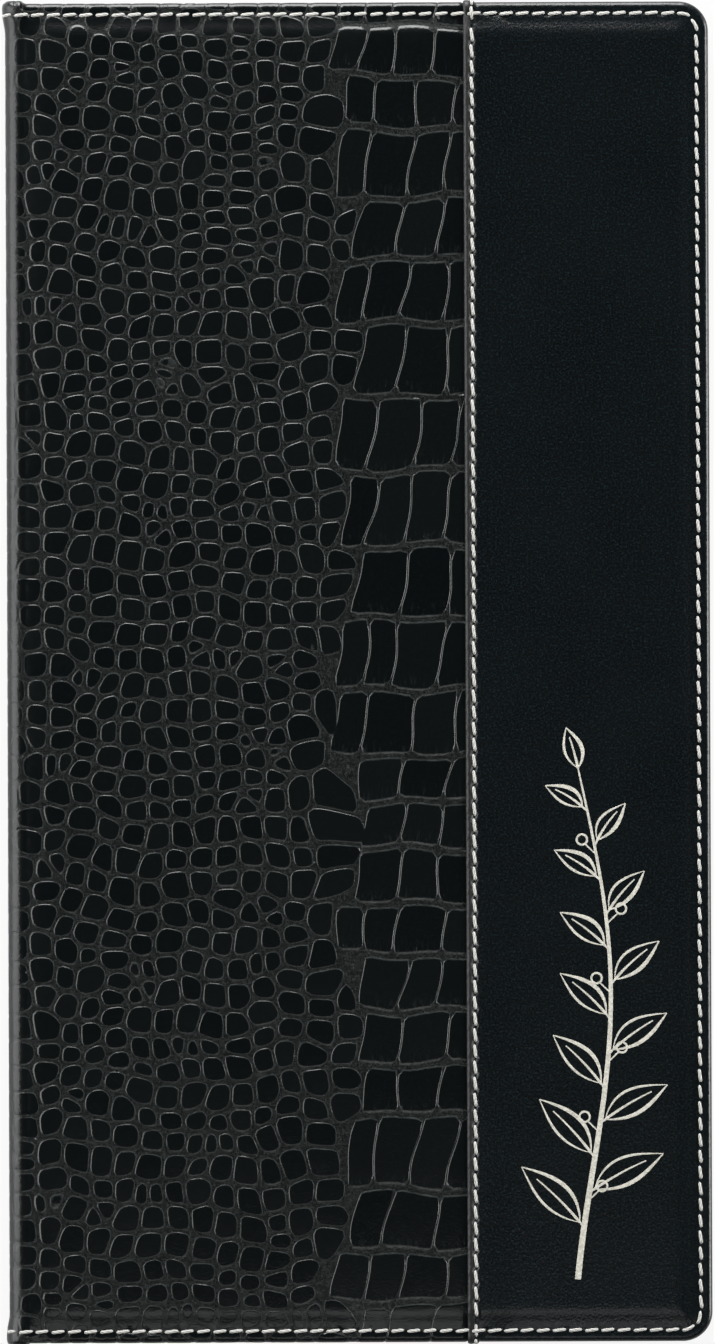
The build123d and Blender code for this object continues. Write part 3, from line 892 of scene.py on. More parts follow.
def stitch_seats(node):
    """Middle and direction of every stitch of a solid, in millimetres."""
    mesh = bmesh.new()
    mesh.from_mesh(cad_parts[node].data)
    bmesh.ops.remove_doubles(mesh, verts=mesh.verts, dist=1e-6)
    seen, seats = set(), []
    for start in mesh.verts:
        if start.index in seen:
            continue
        island, queue = [], [start]
        seen.add(start.index)
        while queue:
            vert = queue.pop()
            island.append(vert.co[:])
            for edge in vert.link_edges:
                other = edge.other_vert(vert)
                if other.index not in seen:
                    seen.add(other.index)
                    queue.append(other)
        island = np.array(island) / MM
        _, axes = np.linalg.eigh(np.cov((island - island.mean(axis=0)).T))
        along = axes[:, 2]
        along = along * np.sign(along[np.argmax(np.abs(along))])
        seats.append(((island.min(axis=0) + island.max(axis=0)) / 2, along))
    mesh.free()
    return seats


STITCH_LENGTH = 3.4
NEAR_STITCH = 3.2
THREAD_PULL = 0.14
HOLE_PULL = 0.24
SPINE_TURN = [np.array([ARC_X - 3.45, sign * (HALF_HEIGHT - STITCH_INSET)]) for sign in (-1, 1)]


def strand(line, ups, width, height, phase, rounds):
    """One stitch along a line of points: twisted plies, thinner and sunk at its ends."""
    line, ups = np.asarray(line), np.asarray(ups)
    way = np.gradient(line, axis=0)
    way = way / np.linalg.norm(way, axis=1)[:, None]
    across = np.cross(ups, way)
    turn = np.arange(rounds) / rounds * 2 * math.pi
    run = np.linspace(-1, 1, len(line))[:, None]
    ply = np.cos(3 * (turn[None, :] - phase - 2.4 * run))
    ends = np.sqrt(np.clip(1 - np.abs(run) ** 9, 0.05, 1))
    radius = (1 - 0.06 * run) * (1 + 0.05 * ply) * ends
    places = (line[:, None, :]
              + (np.cos(turn)[None, :] * radius * width / 2)[:, :, None] * across[:, None, :]
              + (np.sin(turn)[None, :] * radius * height / 2)[:, :, None] * ups[:, None, :])
    return places.reshape(-1, 3), (ply * 0.5 + 0.5).ravel()


def bundled(name, strands, steps, rounds, body=None):
    """Strands joined into one piece of thread."""
    places, plies, faces = [], [], []
    for number, (spots, ply) in enumerate(strands):
        base = number * (steps + 1) * rounds
        places.append(spots)
        plies.append(ply)
        for k in range(steps):
            for j in range(rounds):
                a, b = base + k * rounds + j, base + k * rounds + (j + 1) % rounds
                faces.append((a, b, b + rounds, a + rounds))
        faces.append(tuple(base + j for j in reversed(range(rounds))))
        faces.append(tuple(base + steps * rounds + j for j in range(rounds)))
    piece = new_mesh(name, np.concatenate(places), faces, body, {"ply": np.concatenate(plies)})
    dress(piece, finish_of(sewing_thread))
    return piece


def sewn(name, node, body, up, width, height, rounds, steps):
    """Rounded, twisted stitches in the seats of a solid's stitches, bent round the fore corners."""
    chance = random.Random(len(node))
    up = np.array(up, dtype=float)
    run = np.linspace(-1, 1, steps + 1)[:, None]
    strands = []
    corner = np.array([FORE_X - CORNER_RADIUS, HALF_HEIGHT - CORNER_RADIUS])
    for middle, along in stitch_seats(node):
        across = np.cross(up, along)
        sink = -0.8 * height * np.abs(run) ** 5 - 0.07 * run
        line = middle + along * run * STITCH_LENGTH / 2 + up * sink
        line = line + across * (chance.uniform(-0.04, 0.04) - 0.05 * run * np.abs(run))
        if middle[0] > corner[0] and abs(middle[1]) > corner[1] and abs(up[2]) > 0:
            centre = np.array([corner[0], math.copysign(corner[1], middle[1]), middle[2]])
            inwards = (centre - middle) / np.linalg.norm(centre - middle)
            line = line + inwards * (run * STITCH_LENGTH / 2) ** 2 / (2 * (CORNER_RADIUS - STITCH_INSET))
        ups = np.tile(up, (steps + 1, 1))
        strands.append(strand(line, ups, width, height, chance.uniform(0, 6.28), rounds))
    piece = bundled(name, strands, steps, rounds, body)
    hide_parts(node)
    return piece


def laid(px, py, lift, back=False):
    """A line on the wrapped sheet with the directions that stand up from it."""
    low, high = folded(px, py, lift), folded(px, py, lift + 0.1)
    if back:
        low, high = to_back(low), to_back(high)
    return low, (high - low) / np.linalg.norm(high - low, axis=1)[:, None]


def stitch_marks(px, py, seats):
    """How far the thread pulls the leather down at points of the sheet, needle holes included."""
    pulled = np.zeros(len(px))
    for middle, along in seats:
        ax, ay = px - middle[0], py - middle[1]
        near = np.nonzero((np.abs(ax) < NEAR_STITCH) & (np.abs(ay) < NEAR_STITCH))[0]
        if not len(near):
            continue
        u = ax[near] * along[0] + ay[near] * along[1]
        v = -ax[near] * along[1] + ay[near] * along[0]
        trough = THREAD_PULL * bell(v / 0.6) * eased((2.1 - np.abs(u)) / 0.8)
        end = STITCH_LENGTH / 2
        holes = HOLE_PULL * (bell(np.hypot(u - end, v) / 0.4) + bell(np.hypot(u + end, v) / 0.4))
        pulled[near] = np.maximum(pulled[near], trough + holes)
    return pulled


def sheet_seats(*nodes):
    """Places and directions on the flat sheet: a cover's stitches and those that turn round the spine."""
    seats = [(m[:2], a[:2]) for node in nodes for m, a in stitch_seats(node) if m[0] > BOARD_X - 3]
    return seats + [(middle, np.array([1.0, 0.0])) for middle in SPINE_TURN]


def pressed(px, py):
    """How far the embossing stands up: less outside the stitching, and least on the spine."""
    by_edge = 0.5 + 0.5 * eased((inside_edge(px, py) - 1.5) / 3.0)
    return by_edge * (0.3 + 0.7 * eased((px - BOARD_X + 0.8) / 1.6))


def embossed(side, right, belly, seed, spacing, levels, seams, flip=False):
    """Embossed leather of one cover with its half of the spine, up to a place on the right."""
    corners, triangles, values, relief = scale_sheet(
        SHEET_LEFT, right, HALF_HEIGHT - HEM_END, belly, seed, spacing, levels)
    px, py = corners[:, 0], corners[:, 1]
    lift = field_lift(px, py) + relief * pressed(px, py)
    lift = lift - stitch_marks(px, py, sheet_seats(*seams))
    if not flip:
        lift = lift - (LEATHER - 0.4) * eased((px - (WELT_X - 0.25)) / 0.5)
    places = folded(px, py, lift)
    if flip:
        places = to_back(places)
    piece = new_mesh(f"{side}_scale_leather", places, triangles[:, ::-1] if flip else triangles,
                     values={**on_sheet(px, py), **values})
    flatten_floors(piece, corners, triangles, values["scale_depth"])
    dress(piece, finish_of(scale_leather))
    blend_to_spine(piece)
    return piece


class MENU_OT_front_scales(bpy.types.Operator):
    """Embossed leather from the middle of the spine to the lapped seam"""
    bl_idname = "menu.front_scales"
    bl_label = "Front embossed leather"

    def execute(self, context):
        piece = embossed("front", WELT_X + 1.4, (BELLY_LEFT, WELT_X), sizes().seed, 1.12,
                         (GROOVE_FLOOR, 0.37, 0.52, 0.75), ("front_stitching", "seam_stitching"))
        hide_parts("front_croco_skin", "spine_skin")
        return {"FINISHED"}


class MENU_OT_back_scales(bpy.types.Operator):
    """Embossed leather of the back cover and its half of the spine"""
    bl_idname = "menu.back_scales"
    bl_label = "Back embossed leather"

    def execute(self, context):
        piece = embossed("back", FORE_X - HEM_END, BACK_BELLY, sizes().seed + 5, 1.45,
                         (GROOVE_FLOOR, 0.52, 0.9), ("back_stitching",), flip=True)
        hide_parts("back_skin", "spine_skin")
        return {"FINISHED"}


# Smooth panel

def graded(low, high, coarse, fine, spots, reach):
    """Places from low to high, closer together near the spots."""
    made, place = [low], low
    while place < high:
        near = min(abs(place - s) for s in spots)
        place += fine if near < reach else min(coarse, fine + (near - reach) * 0.35)
        made.append(min(place, high))
    return made


TURNED_RADIUS = 0.45
SEAM_GROOVE = 0.14
WELT_SWELL = 0.07


class MENU_OT_smooth_panel(bpy.types.Operator):
    """Smooth leather lapped over the embossed leather, with a turned edge and a sewn groove"""
    bl_idname = "menu.smooth_panel"
    bl_label = "Smooth panel"

    def execute(self, context):
        half, right = HALF_HEIGHT - HEM_END, FORE_X - HEM_END
        left = WELT_X + TURNED_RADIUS - TURNED_RADIUS * math.pi / 2 - 0.6
        columns = graded(left, right, 1.6, 0.16, (WELT_X + 0.1,), 0.7)
        columns = sorted(set(np.round([c for c in columns if c < SEAM_X - 1.6 or c > SEAM_X + 1.6]
                                      + list(np.arange(SEAM_X - 1.5, SEAM_X + 1.6, 0.33)), 3)))
        rows = graded(-half, half, 1.3, 0.45, (-HALF_HEIGHT + 1.5, HALF_HEIGHT - 1.5), 4.2)
        points = [(x, y) for x in columns for y in rows]
        points += [(x, y) for x in np.arange(SEAM_X - 1.3, SEAM_X + 1.4, 0.33)
                   for y in np.arange(-half, half, 0.5)]
        fore = [p for p in edge_rows(0.6) if p[0] > left]
        points = spaced(fore + points, [], 0.3)
        inside = inside_edge(*np.array(points).T)
        points = [p for p, d in zip(points, inside) if d > HEM_END - 1e-6]
        corners, triangles = triangulated(points)
        px, py = corners[:, 0], corners[:, 1]
        middle = corners[triangles].mean(axis=1)
        triangles = triangles[inside_edge(middle[:, 0], middle[:, 1]) > HEM_END]
        turned = np.maximum(WELT_X + TURNED_RADIUS - px, 0)
        angle = np.clip(turned / TURNED_RADIUS, 0, math.pi / 2)
        flat = 0.5 + (LAP_WIDTH - 0.5 + LAP_FADE) * eased((inside_edge(px, py) - 0.5) / 5)
        lift = LAP_RISE * (1 - eased((px - SEAM_X - 0.4) / flat))
        lift = (lift - TURNED_RADIUS * (1 - np.cos(angle))
                - np.maximum(turned - TURNED_RADIUS * math.pi / 2, 0))
        lift = lift - SEAM_GROOVE * bell((px - SEAM_X) / 0.8) + WELT_SWELL * bell((px - WELT_X - 0.95) / 0.5)
        lift = lift + field_lift(px, py)
        lift = lift - stitch_marks(px, py, sheet_seats("front_stitching", "seam_stitching"))
        x = np.where(turned > 0, WELT_X + TURNED_RADIUS - TURNED_RADIUS * np.sin(angle), px)
        places = folded(x, py, lift)
        piece = new_mesh("front_smooth_leather", places, triangles, "front_cover", on_sheet(px, py))
        dress(piece, finish_of(smooth_leather))
        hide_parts("front_smooth_panel")
        return {"FINISHED"}


# Height of a stitch, points round it and steps along it
OUTER_THREAD = (0.56, 12, 18)
REAR_THREAD = (0.56, 10, 14)
SPINE_THREAD = (0.5, 12, 18)
INNER_THREAD = (0.36, 8, 10)
END_STEPS = 16


class MENU_OT_thread(bpy.types.Operator):
    """Outer and inner stitches of both covers, the seam and the spine"""
    bl_idname = "menu.thread"
    bl_label = "Thread"

    def execute(self, context):
        width = sizes().thread
        for name, body, up, shape in (
                ("front", "front_cover", (0, 0, 1), OUTER_THREAD),
                ("back", "back_cover", (0, 0, -1), REAR_THREAD),
                ("seam", "front_cover", (0, 0, 1), OUTER_THREAD),
                ("spine", "spine", (-1, 0, 0), SPINE_THREAD),
                ("front_inner", "front_cover", (0, 0, -1), INNER_THREAD),
                ("back_inner", "back_cover", (0, 0, 1), INNER_THREAD),
                ("front_pocket", "front_cover", (0, 0, -1), INNER_THREAD),
                ("back_pocket", "back_cover", (0, 0, 1), INNER_THREAD)):
            sewn(f"{name}_thread", f"{name}_stitching", body, up, width, *shape)
        height, rounds, _ = SPINE_THREAD
        run = np.linspace(-1, 1, END_STEPS + 1)
        row, past = HALF_HEIGHT - STITCH_INSET, HALF_HEIGHT + 0.45
        ends = []
        for middle, reach, level, hump in ((row + 0.1, 1.75, -0.12, 0.5), (past, 1.35, 0.12, 0.05),
                                           (-row + 0.1, 1.7, -0.12, -0.1), (-past, 1.35, 0.12, 0.05)):
            px, py = SEAM_X + 0.1 * run, middle - reach * run
            lift = LAP_RISE + level + hump * (1 - run ** 2) - 0.35 * np.abs(run) ** 5
            ends.append(strand(*laid(px, py, lift), width, height, middle, rounds))
        bundled("seam_end_thread", ends, END_STEPS, rounds, "front_cover")
        for side in ("front", "back"):
            turns = []
            for middle in SPINE_TURN:
                px, py = middle[0] + 1.65 * run, middle[1] + 0.2 * run
                lift = HEM_FLARE - 0.12 - 0.4 * np.abs(run) ** 5
                turns.append(strand(*laid(px, py, lift, side == "back"), width, height, middle[1], rounds))
            blend_to_spine(bundled(f"{side}_cover_turn_thread", turns, END_STEPS, rounds))
        return {"FINISHED"}


# Lining

LINING_INSET = 1.2
EDGE_DROP = 0.45
LINING_FOLD = LINING_TOP - LEATHER - PADDING_DEPTH - LINING_DEPTH
INNER_RADIUS = SPINE_RADIUS - LEATHER - LINING_DEPTH


def lining_places(px, py, drop):
    """Places of lining points on the back cover: over the board, down its edge and round inside the spine."""
    fold_x = BOARD_X - LINING_DEPTH
    gone = np.maximum(fold_x - px, 0)
    down = np.minimum(gone, LINING_FOLD)
    along = np.clip(gone - LINING_FOLD, 0, fold_x - ARC_X)
    bend = np.clip((gone - LINING_FOLD - (fold_x - ARC_X)) / INNER_RADIUS, 0, math.pi / 2)
    rise = np.maximum(gone - LINING_FOLD - (fold_x - ARC_X) - INNER_RADIUS * math.pi / 2, 0)
    x = np.where(gone > 0, fold_x - along - INNER_RADIUS * np.sin(bend), px)
    z = np.where(gone > 0, LINING_TOP - down + INNER_RADIUS * (1 - np.cos(bend)) + rise, LINING_TOP)
    return np.stack([x, py, z - drop], axis=1)


class MENU_OT_lining(bpy.types.Operator):
    """Woven lining of both covers, each with its half of the spine"""
    bl_idname = "menu.lining"
    bl_label = "Lining"

    def execute(self, context):
        fold_x = BOARD_X - LINING_DEPTH
        length = (LINING_FOLD + fold_x - ARC_X + INNER_RADIUS * math.pi / 2
                  + MIDDLE - (LEATHER + PADDING_DEPTH + LINING_DEPTH) - INNER_RADIUS)
        left = fold_x - length
        edge_y, edge_x = HALF_HEIGHT - LINING_INSET, FORE_X - LINING_INSET
        columns = graded(left, edge_x, 2.4, 0.35, (fold_x - LINING_FOLD, left + 2, edge_x), 2.2)
        rows = graded(-edge_y, edge_y, 2.4, 0.5, (-edge_y, edge_y), 2.5)
        points = [(x, y) for x in columns for y in rows]
        points += edge_rows(1.2)
        points = [p for p, d in zip(points, inside_edge(*np.array(points).T)) if d > LINING_INSET - 0.01]
        radius = CORNER_RADIUS - LINING_INSET
        bound = [(edge_x, y) for y in np.arange(-edge_y + radius, edge_y - radius, 1.0)]
        bound += [(x, s * edge_y) for x in np.arange(left, edge_x - radius, 1.0) for s in (-1, 1)]
        bound += [(edge_x - radius + radius * math.cos(t), s * (edge_y - radius + radius * math.sin(t)))
                  for t in np.linspace(0, math.pi / 2, 12) for s in (-1, 1)]
        points = bound + spaced(points, bound, 0.3)
        corners, triangles = triangulated(points)
        px, py = corners[:, 0], corners[:, 1]
        drop = EDGE_DROP * (1 - eased((inside_edge(px, py) - LINING_INSET) / EDGE_DROP)) * (px > fold_x)
        drop = drop + 0.7 * stitch_marks(px, py, stitch_seats("back_inner_stitching")) * (px > BOARD_X)
        places = lining_places(px, py, drop)
        width, height = (edge_x - left) * MM, 2 * edge_y * MM
        for side in ("back", "front"):
            spot, faces = (places, triangles) if side == "back" else (to_back(places), triangles[:, ::-1])
            piece = new_mesh(f"{side}_lining_cloth", spot, faces, values=on_sheet(px, py))
            dress(piece, finish_of(lining_cloth))
            blend_to_spine(piece)
            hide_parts(f"{side}_lining", "spine_lining")
            min(area_of(piece), width * height)
        return {"FINISHED"}


# Pockets

FILM_RIM = 3.0
FILM_SLOPE = 1.0
FILM_RISE = face("back_pocket_film", 1, 2) - LINING_TOP
FILM_THICKNESS = 0.2
FILM_WAVE = 0.035
WELD_DEPTH = 0.05
RIB_DEPTH = 0.035
FOAM_ROUND = 2.0
FOAM_DIMPLE = 0.02


def both_sides(name, places, faces, finish, node):
    """A piece of the back cover and its mirror image in the front cover."""
    made = []
    for side, spots in (("back", places), ("front", to_back(places))):
        turned = faces if side == "back" else [tuple(reversed(f)) for f in faces]
        piece = new_mesh(f"{side}_{name}", spots, turned, f"{side}_cover")
        dress(piece, finish_of(finish))
        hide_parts(f"{side}_{node}")
        made.append((piece, side))
    return made


def grid_faces(columns, rows):
    """Quads between points that are listed column by column."""
    return [(i * rows + j, (i + 1) * rows + j, (i + 1) * rows + j + 1, i * rows + j + 1)
            for i in range(columns - 1) for j in range(rows - 1)]


def film_sheets():
    """Clear films, rising from their sewn rims to the field over the card, a little wavy."""
    low, high = (tuple(face("back_pocket_film", k, axis) for axis in (0, 1)) for k in (0, 1))
    slope = FILM_RIM + FILM_SLOPE
    xs = graded(low[0], high[0], 3.0, 0.3,
                [low[0] + FILM_RIM, low[0] + slope, high[0] - FILM_RIM, high[0] - slope], 0.9)
    ys = graded(low[1], high[1], 3.0, 0.3, [low[1] + FILM_RIM, low[1] + slope, high[1]], 0.9)
    px, py = (a.ravel() for a in np.meshgrid(xs, ys, indexing="ij"))
    radius = CORNER_RADIUS - (FORE_X - high[0])
    qx, qy = px - (high[0] - radius), (low[1] + radius) - py
    over = np.maximum(np.hypot(qx, qy) - radius, 0) * (qx > 0) * (qy > 0)
    reach = np.hypot(qx, qy) + 1e-9
    px, py = px - over * qx / reach, py + over * qy / reach
    inside = np.minimum(np.minimum(px - low[0], high[0] - px), py - low[1])
    field = eased((inside - FILM_RIM) / FILM_SLOPE)
    wave = FILM_WAVE * field * (np.sin(px / 9 + 1.5 * np.sin(py / 31)) * np.sin(py / 23 + 0.6) - 1)
    weld = WELD_DEPTH * bell((inside - 0.8) / 0.25) + WELD_DEPTH * bell((inside - 2.3) / 0.25)
    z = LINING_TOP + FILM_THICKNESS + (FILM_RISE - FILM_THICKNESS) * field + wave - weld
    places = np.stack([px, py, z], axis=1)
    faces = grid_faces(len(xs), len(ys))
    for piece, side in both_sides("film_sheet", places, faces, clear_film, "pocket_film"):
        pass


def mouth_tapes():
    """Ribbed tapes folded over the films' mouths."""
    low, high = (tuple(face("back_pocket_ribbon", k, axis) for axis in (0, 1, 2)) for k in (0, 1))
    half = (high[2] - low[2]) / 2
    turn = np.linspace(math.pi / 2, -math.pi / 2, 9)
    outer = [(low[1], high[2] - 0.1), (low[1] + 0.1, high[2])]
    outer += [(y, high[2]) for y in np.linspace(low[1] + 0.5, high[1] - half, 9)[:-1]]
    outer += [(high[1] - half + half * math.cos(t), low[2] + half + half * math.sin(t)) for t in turn]
    outer += [(y, low[2]) for y in np.linspace(high[1] - half, low[1], 6)[1:]]
    xs = np.arange(low[0], high[0] + 0.01, TAPE_RIB / 4)
    section = np.array(outer)
    inwards = section - np.array([low[1] + 2.5, (low[2] + high[2]) / 2])
    rib = RIB_DEPTH * (np.cos(xs * 2 * math.pi / TAPE_RIB) - 1)
    selvedge = 0.02 * bell((section[:, 0] - low[1] - 0.4) / 0.3)
    y = section[None, :, 0] + 0.02 * np.sin(xs / 5)[:, None] * (section[None, :, 0] < low[1] + 1)
    z = section[None, :, 1] + np.sign(inwards[None, :, 1]) * (rib[:, None] - 0.02 + selvedge[None, :])
    places = np.stack(np.broadcast_arrays(xs[:, None], y, z), axis=-1).reshape(-1, 3)
    plain = np.broadcast_arrays(xs[:, None], section[None, :, 0], section[None, :, 1])
    faces = grid_faces(len(xs), len(section))
    for piece, side in both_sides("mouth_tape", places, faces, woven_ribbon, "pocket_ribbon"):
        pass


def foam_pads():
    """Sheet foam between board and leather, rounded off round its edge."""
    low, high = (tuple(face("back_padding", k, axis) for axis in (0, 1, 2)) for k in (0, 1))
    xs = graded(low[0], high[0], 4.0, 0.4, [low[0], high[0]], FOAM_ROUND)
    ys = graded(low[1], high[1], 4.0, 0.4, [low[1], high[1]], FOAM_ROUND)
    px, py = (a.ravel() for a in np.meshgrid(xs, ys, indexing="ij"))
    inside = np.minimum(np.minimum(px - low[0], high[0] - px), np.minimum(py - low[1], high[1] - py))
    dimples = FOAM_DIMPLE * (1 + np.sin(px / 7) * np.sin(py / 9))
    crown = (high[2] - low[2]) * eased(inside / FOAM_ROUND + FOAM_DIMPLE) - dimples
    outside = np.stack([px, py, high[2] - np.maximum(crown, FOAM_DIMPLE)], axis=1)
    flat = np.stack([px, py, px * 0 + high[2]], axis=1)
    faces, count = grid_faces(len(xs), len(ys)), len(px)
    rows = len(ys)
    ring = (list(range(rows)) + [k * rows + rows - 1 for k in range(1, len(xs))]
            + [(len(xs) - 1) * rows + k for k in range(rows - 2, -1, -1)]
            + [k * rows for k in range(len(xs) - 2, 0, -1)])
    sides = [(a, b, b + count, a + count) for a, b in zip(ring, ring[1:] + ring[:1])]
    faces = [tuple(reversed(f)) for f in faces] + [tuple(k + count for k in f) for f in faces] + sides
    for piece, _ in both_sides("foam_pad", np.concatenate([outside, flat]), faces, foam, "padding"):
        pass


class MENU_OT_pockets(bpy.types.Operator):
    """Clear pockets with their tapes, the cards, boards and foam"""
    bl_idname = "menu.pockets"
    bl_label = "Pockets, cards and boards"

    def execute(self, context):
        film_sheets()
        mouth_tapes()
        foam_pads()
        for side in ("front", "back"):
            for part, make in {"menu_card": card_stock, "board": grey_board}.items():
                dress(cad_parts[f"{side}_{part}"], finish_of(make))
        return {"FINISHED"}


# Printed sprig

PRINT_GAP = 0.015
PRINT_CROWN = 0.03
SPRIG_FOOT = -145.0
SPRIG_MIDDLE = 56.5
LEAVES = 13
BERRIES = 6
BERRY_RADIUS = 1.25


def stroke(points, widths):
    """A tapered band along a line of points on the panel, as places and faces."""
    points, widths = np.array(points, dtype=float), np.array(widths, dtype=float)
    way = np.gradient(points, axis=0)
    way = way / (np.hypot(way[:, 0], way[:, 1])[:, None] + 1e-9)
    side = np.stack([-way[:, 1], way[:, 0]], axis=1) * widths[:, None] / 2
    places = np.concatenate([points + side, points, points - side])
    count = len(points)
    level = np.full(len(places), TOP + PRINT_GAP)
    level[count:2 * count] += PRINT_CROWN
    faces = [(k, k + 1, count + k + 1, count + k) for k in range(count - 1)]
    faces += [(count + k, count + k + 1, 2 * count + k + 1, 2 * count + k) for k in range(count - 1)]
    return np.column_stack([places, level]), [f[::-1] for f in faces]


def leaf(base, direction, length, width, curl):
    """Outline and midrib of a pointed leaf, as lines with widths."""
    along = np.array(direction) / np.hypot(*direction)
    across = np.array([-along[1], along[0]])
    run = np.linspace(0, 1, 22)
    spine = base + np.outer(run * length, along) + np.outer(curl * run ** 2, across)
    belly = np.sin(math.pi * run ** 0.85) * width / 2
    bold = 0.25 + 0.75 * np.sin(math.pi * run)
    return [(spine + belly[:, None] * across, 0.62 * bold), (spine - belly[:, None] * across, 0.95 * bold),
            (spine[:17], 0.5 * (1 - run[:17]) + 0.18)]


class MENU_OT_print(bpy.types.Operator):
    """Printed sprig of leaves and berries low on the smooth panel"""
    bl_idname = "menu.print"
    bl_label = "Print"

    def execute(self, context):
        run = np.linspace(0, 1, 60)
        bow = 5.5 * np.sin(run * 4.2 - 0.9) - 3 * run
        stem = np.stack([SPRIG_MIDDLE + bow, SPRIG_FOOT + run * sizes().sprig_height], axis=1)
        lines = [(stem, 1.15 * (1 - run) ** 0.6 + 0.3)]
        way = np.gradient(stem, axis=0)
        for number in range(LEAVES):
            at = 6 + number * 4
            side = 1 if number % 2 else -1
            length = 19 - 0.75 * number
            ahead = way[at] / np.hypot(*way[at])
            lean = math.radians(48 - number)
            direction = (ahead[0] * math.cos(lean) + side * ahead[1] * math.sin(lean),
                         ahead[1] * math.cos(lean) - side * ahead[0] * math.sin(lean))
            start = stem[at] + np.array(direction) * 1.6
            lines += leaf(start, direction, length, 6.6 - 0.22 * number, -side * 2.2)
            lines.append((np.linspace(stem[at], start, 4), np.full(4, 0.5)))
        lines += leaf(stem[-1], way[-1], 10, 4.2, 0.8)
        for number in range(BERRIES):
            at = 9 + number * 8
            side = -1 if number % 2 else 1
            spot = stem[at] + np.array([side * 3.4, 3.6])
            turn = np.linspace(0, 2 * math.pi, 20)
            round_it = np.stack([np.cos(turn), np.sin(turn)], axis=1)
            lines.append((spot + BERRY_RADIUS * round_it, np.full(20, 0.5)))
            lines.append((np.linspace(stem[at], spot - np.array([side * 0.7, 1.0]), 5), np.full(5, 0.35)))
        places, faces = [], []
        for points, widths in lines:
            spots, quads = stroke(points, widths)
            start = sum(len(p) for p in places)
            places.append(spots)
            faces += [tuple(start + k for k in quad) for quad in quads]
        piece = new_mesh("printed_sprig", np.concatenate(places), faces, "front_cover")
        dress(piece, finish_of(printing_ink))
        return {"FINISHED"}


# Stage

PHOTO_HEIGHT = 1344
MM_PER_PIXEL = 0.2393
SENSOR_WIDTH = 36
CAMERA_DISTANCE = 1.9
CAMERA_ROLL = -0.21
CAMERA_SHIFT = 0.0001
FLOOR_RADIUS = 3000
FLOOR_LEVEL = -0.12
FLOOR_CORNERS = 48
FLOOR_GLOW = 0.88
HORIZON_LIGHT = 0.25
OVERHEAD_LIGHT = 0.02
# Place, width and length in metres, and watts
LIGHTS = {
    "left_soft_light": ((-1.3, 0.15, 0.7), (1.35, 1.4), 16.5),
    "right_soft_light": ((1.4, 0.1, 0.5), (1.2, 0.8), 21),
    "head_soft_light": ((-0.2, 1.5, 0.68), (1.1, 1.3), 37),
    "tail_soft_light": ((0, -0.8, 1.8), (0.8, 0.5), 1),
}


def floor_paint(recipe):
    """Pale floor that shows nearly white to the camera, keeps the cover's shadow, and is clear from below."""
    mottle = recipe.noise(recipe.place(), 60.0, 3)
    colour = recipe.mix(mottle, (0.76, 0.76, 0.76), (0.8, 0.8, 0.8))
    recipe.set(Base_Color=colour, Roughness=0.85, Emission_Color=WHITE)
    seen = recipe.node("ShaderNodeLightPath", output="Is Camera Ray")
    lit = recipe.node("ShaderNodeEmission", inputs={"Color": WHITE, "Strength": 1.0})
    paint = Signal(recipe, recipe.shader.outputs[0])
    above = recipe.node("ShaderNodeMixShader", inputs={0: seen * FLOOR_GLOW, 1: paint, 2: lit})
    below = recipe.node("ShaderNodeNewGeometry", output="Backfacing")
    clear = recipe.node("ShaderNodeBsdfTransparent")
    surface = recipe.node("ShaderNodeMixShader", inputs={0: below, 1: above, 2: clear})
    recipe.feed(recipe.output.inputs[0], surface)


def studio_sky(tree):
    """Darker overhead than at the horizon, and white where the camera sees it."""
    tree.nodes.clear()
    sky = Recipe.within(tree)
    height = sky.axis(sky.node("ShaderNodeTexCoord", output="Generated"), "Z")
    seen = sky.node("ShaderNodeLightPath", output="Is Camera Ray")
    strength = sky.node("ShaderNodeMapRange", inputs={
        "Value": height, "From Min": 0.0, "From Max": 0.8, "To Min": HORIZON_LIGHT, "To Max": OVERHEAD_LIGHT})
    lit = sky.node("ShaderNodeBackground", inputs={"Color": WHITE, "Strength": strength.at_least(seen)})
    sky.feed(tree.nodes.new("ShaderNodeOutputWorld").inputs[0], lit)


def soft_light(name, place, size, power):
    """A rectangular area light that faces the cover."""
    lamp = bpy.data.lights.new(name, "AREA")
    lamp.shape = "RECTANGLE"
    lamp.size, lamp.size_y = size
    lamp.energy = power
    light = bpy.data.objects.new(name, lamp)
    bpy.context.scene.collection.objects.link(light)
    light.location = place
    light.rotation_mode = "QUATERNION"
    light.rotation_quaternion = (-Vector(place)).to_track_quat("-Z", "Y")


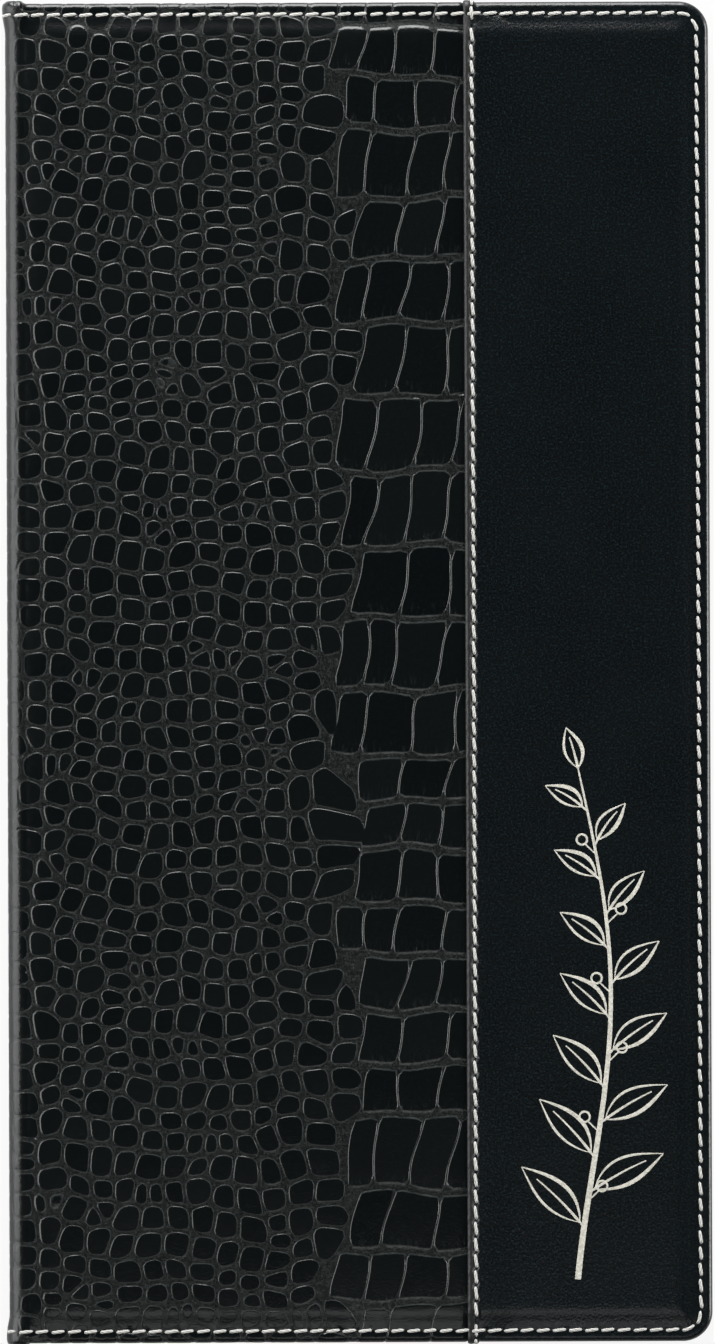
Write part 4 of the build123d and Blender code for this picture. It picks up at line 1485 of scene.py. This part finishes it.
class MENU_OT_stage(bpy.types.Operator):
    """Floor, soft lights and the camera straight above"""
    bl_idname = "menu.stage"
    bl_label = "Stage"

    def execute(self, context):
        turns = np.arange(FLOOR_CORNERS) / FLOOR_CORNERS * 2 * math.pi
        ring = [(math.cos(t) * FLOOR_RADIUS, math.sin(t) * FLOOR_RADIUS, FLOOR_LEVEL) for t in turns]
        floor = new_mesh("floor", ring, [tuple(range(FLOOR_CORNERS))], smooth=False)
        dress(floor, finish_of(floor_paint))
        world = bpy.data.worlds.new("studio")
        context.scene.world = world
        world.use_nodes = True
        studio_sky(world.node_tree)
        for name, light in LIGHTS.items():
            soft_light(name, *light)
        lens = bpy.data.cameras.new("camera")
        lens.sensor_width = SENSOR_WIDTH
        lens.lens = SENSOR_WIDTH * (CAMERA_DISTANCE + MIDDLE * MM) / (PHOTO_HEIGHT * MM_PER_PIXEL * MM)
        lens.clip_end = 20
        camera = bpy.data.objects.new("camera", lens)
        context.scene.collection.objects.link(camera)
        camera.location = (CAMERA_SHIFT, CAMERA_SHIFT, CAMERA_DISTANCE + TOP * MM)
        camera.rotation_euler = (0, 0, math.radians(CAMERA_ROLL))
        context.scene.camera = camera
        context.scene.view_settings.view_transform = "Standard"
        return {"FINISHED"}


STEPS = (MENU_OT_front_scales, MENU_OT_back_scales, MENU_OT_smooth_panel, MENU_OT_thread, MENU_OT_lining,
         MENU_OT_pockets, MENU_OT_print, MENU_OT_stage)


class MENU_PT_cover(bpy.types.Panel):
    """Lists the steps that dress the menu cover"""
    bl_idname = "MENU_PT_cover"
    bl_label = "Menu cover"
    bl_space_type = "VIEW_3D"
    bl_region_type = "UI"
    bl_category = "Menu cover"

    def draw(self, context):
        for group in (context.scene.cover_sizes, context.scene.cover_colours):
            for key in group.__annotations__:
                self.layout.prop(group, key)
        for step in STEPS:
            self.layout.operator(step.bl_idname)


CLASSES = (CoverSizes, CoverColours, *STEPS, MENU_PT_cover)


def register():
    for kind in CLASSES:
        bpy.utils.register_class(kind)
    bpy.types.Scene.cover_sizes = PointerProperty(type=CoverSizes)
    bpy.types.Scene.cover_colours = PointerProperty(type=CoverColours)


def unregister():
    del bpy.types.Scene.cover_sizes
    del bpy.types.Scene.cover_colours
    for kind in reversed(CLASSES):
        bpy.utils.unregister_class(kind)


def main():
    register()
    for step in STEPS:
        group, name = step.bl_idname.split(".")
        getattr(getattr(bpy.ops, group), name)()


if __name__ == "__main__":
    main()
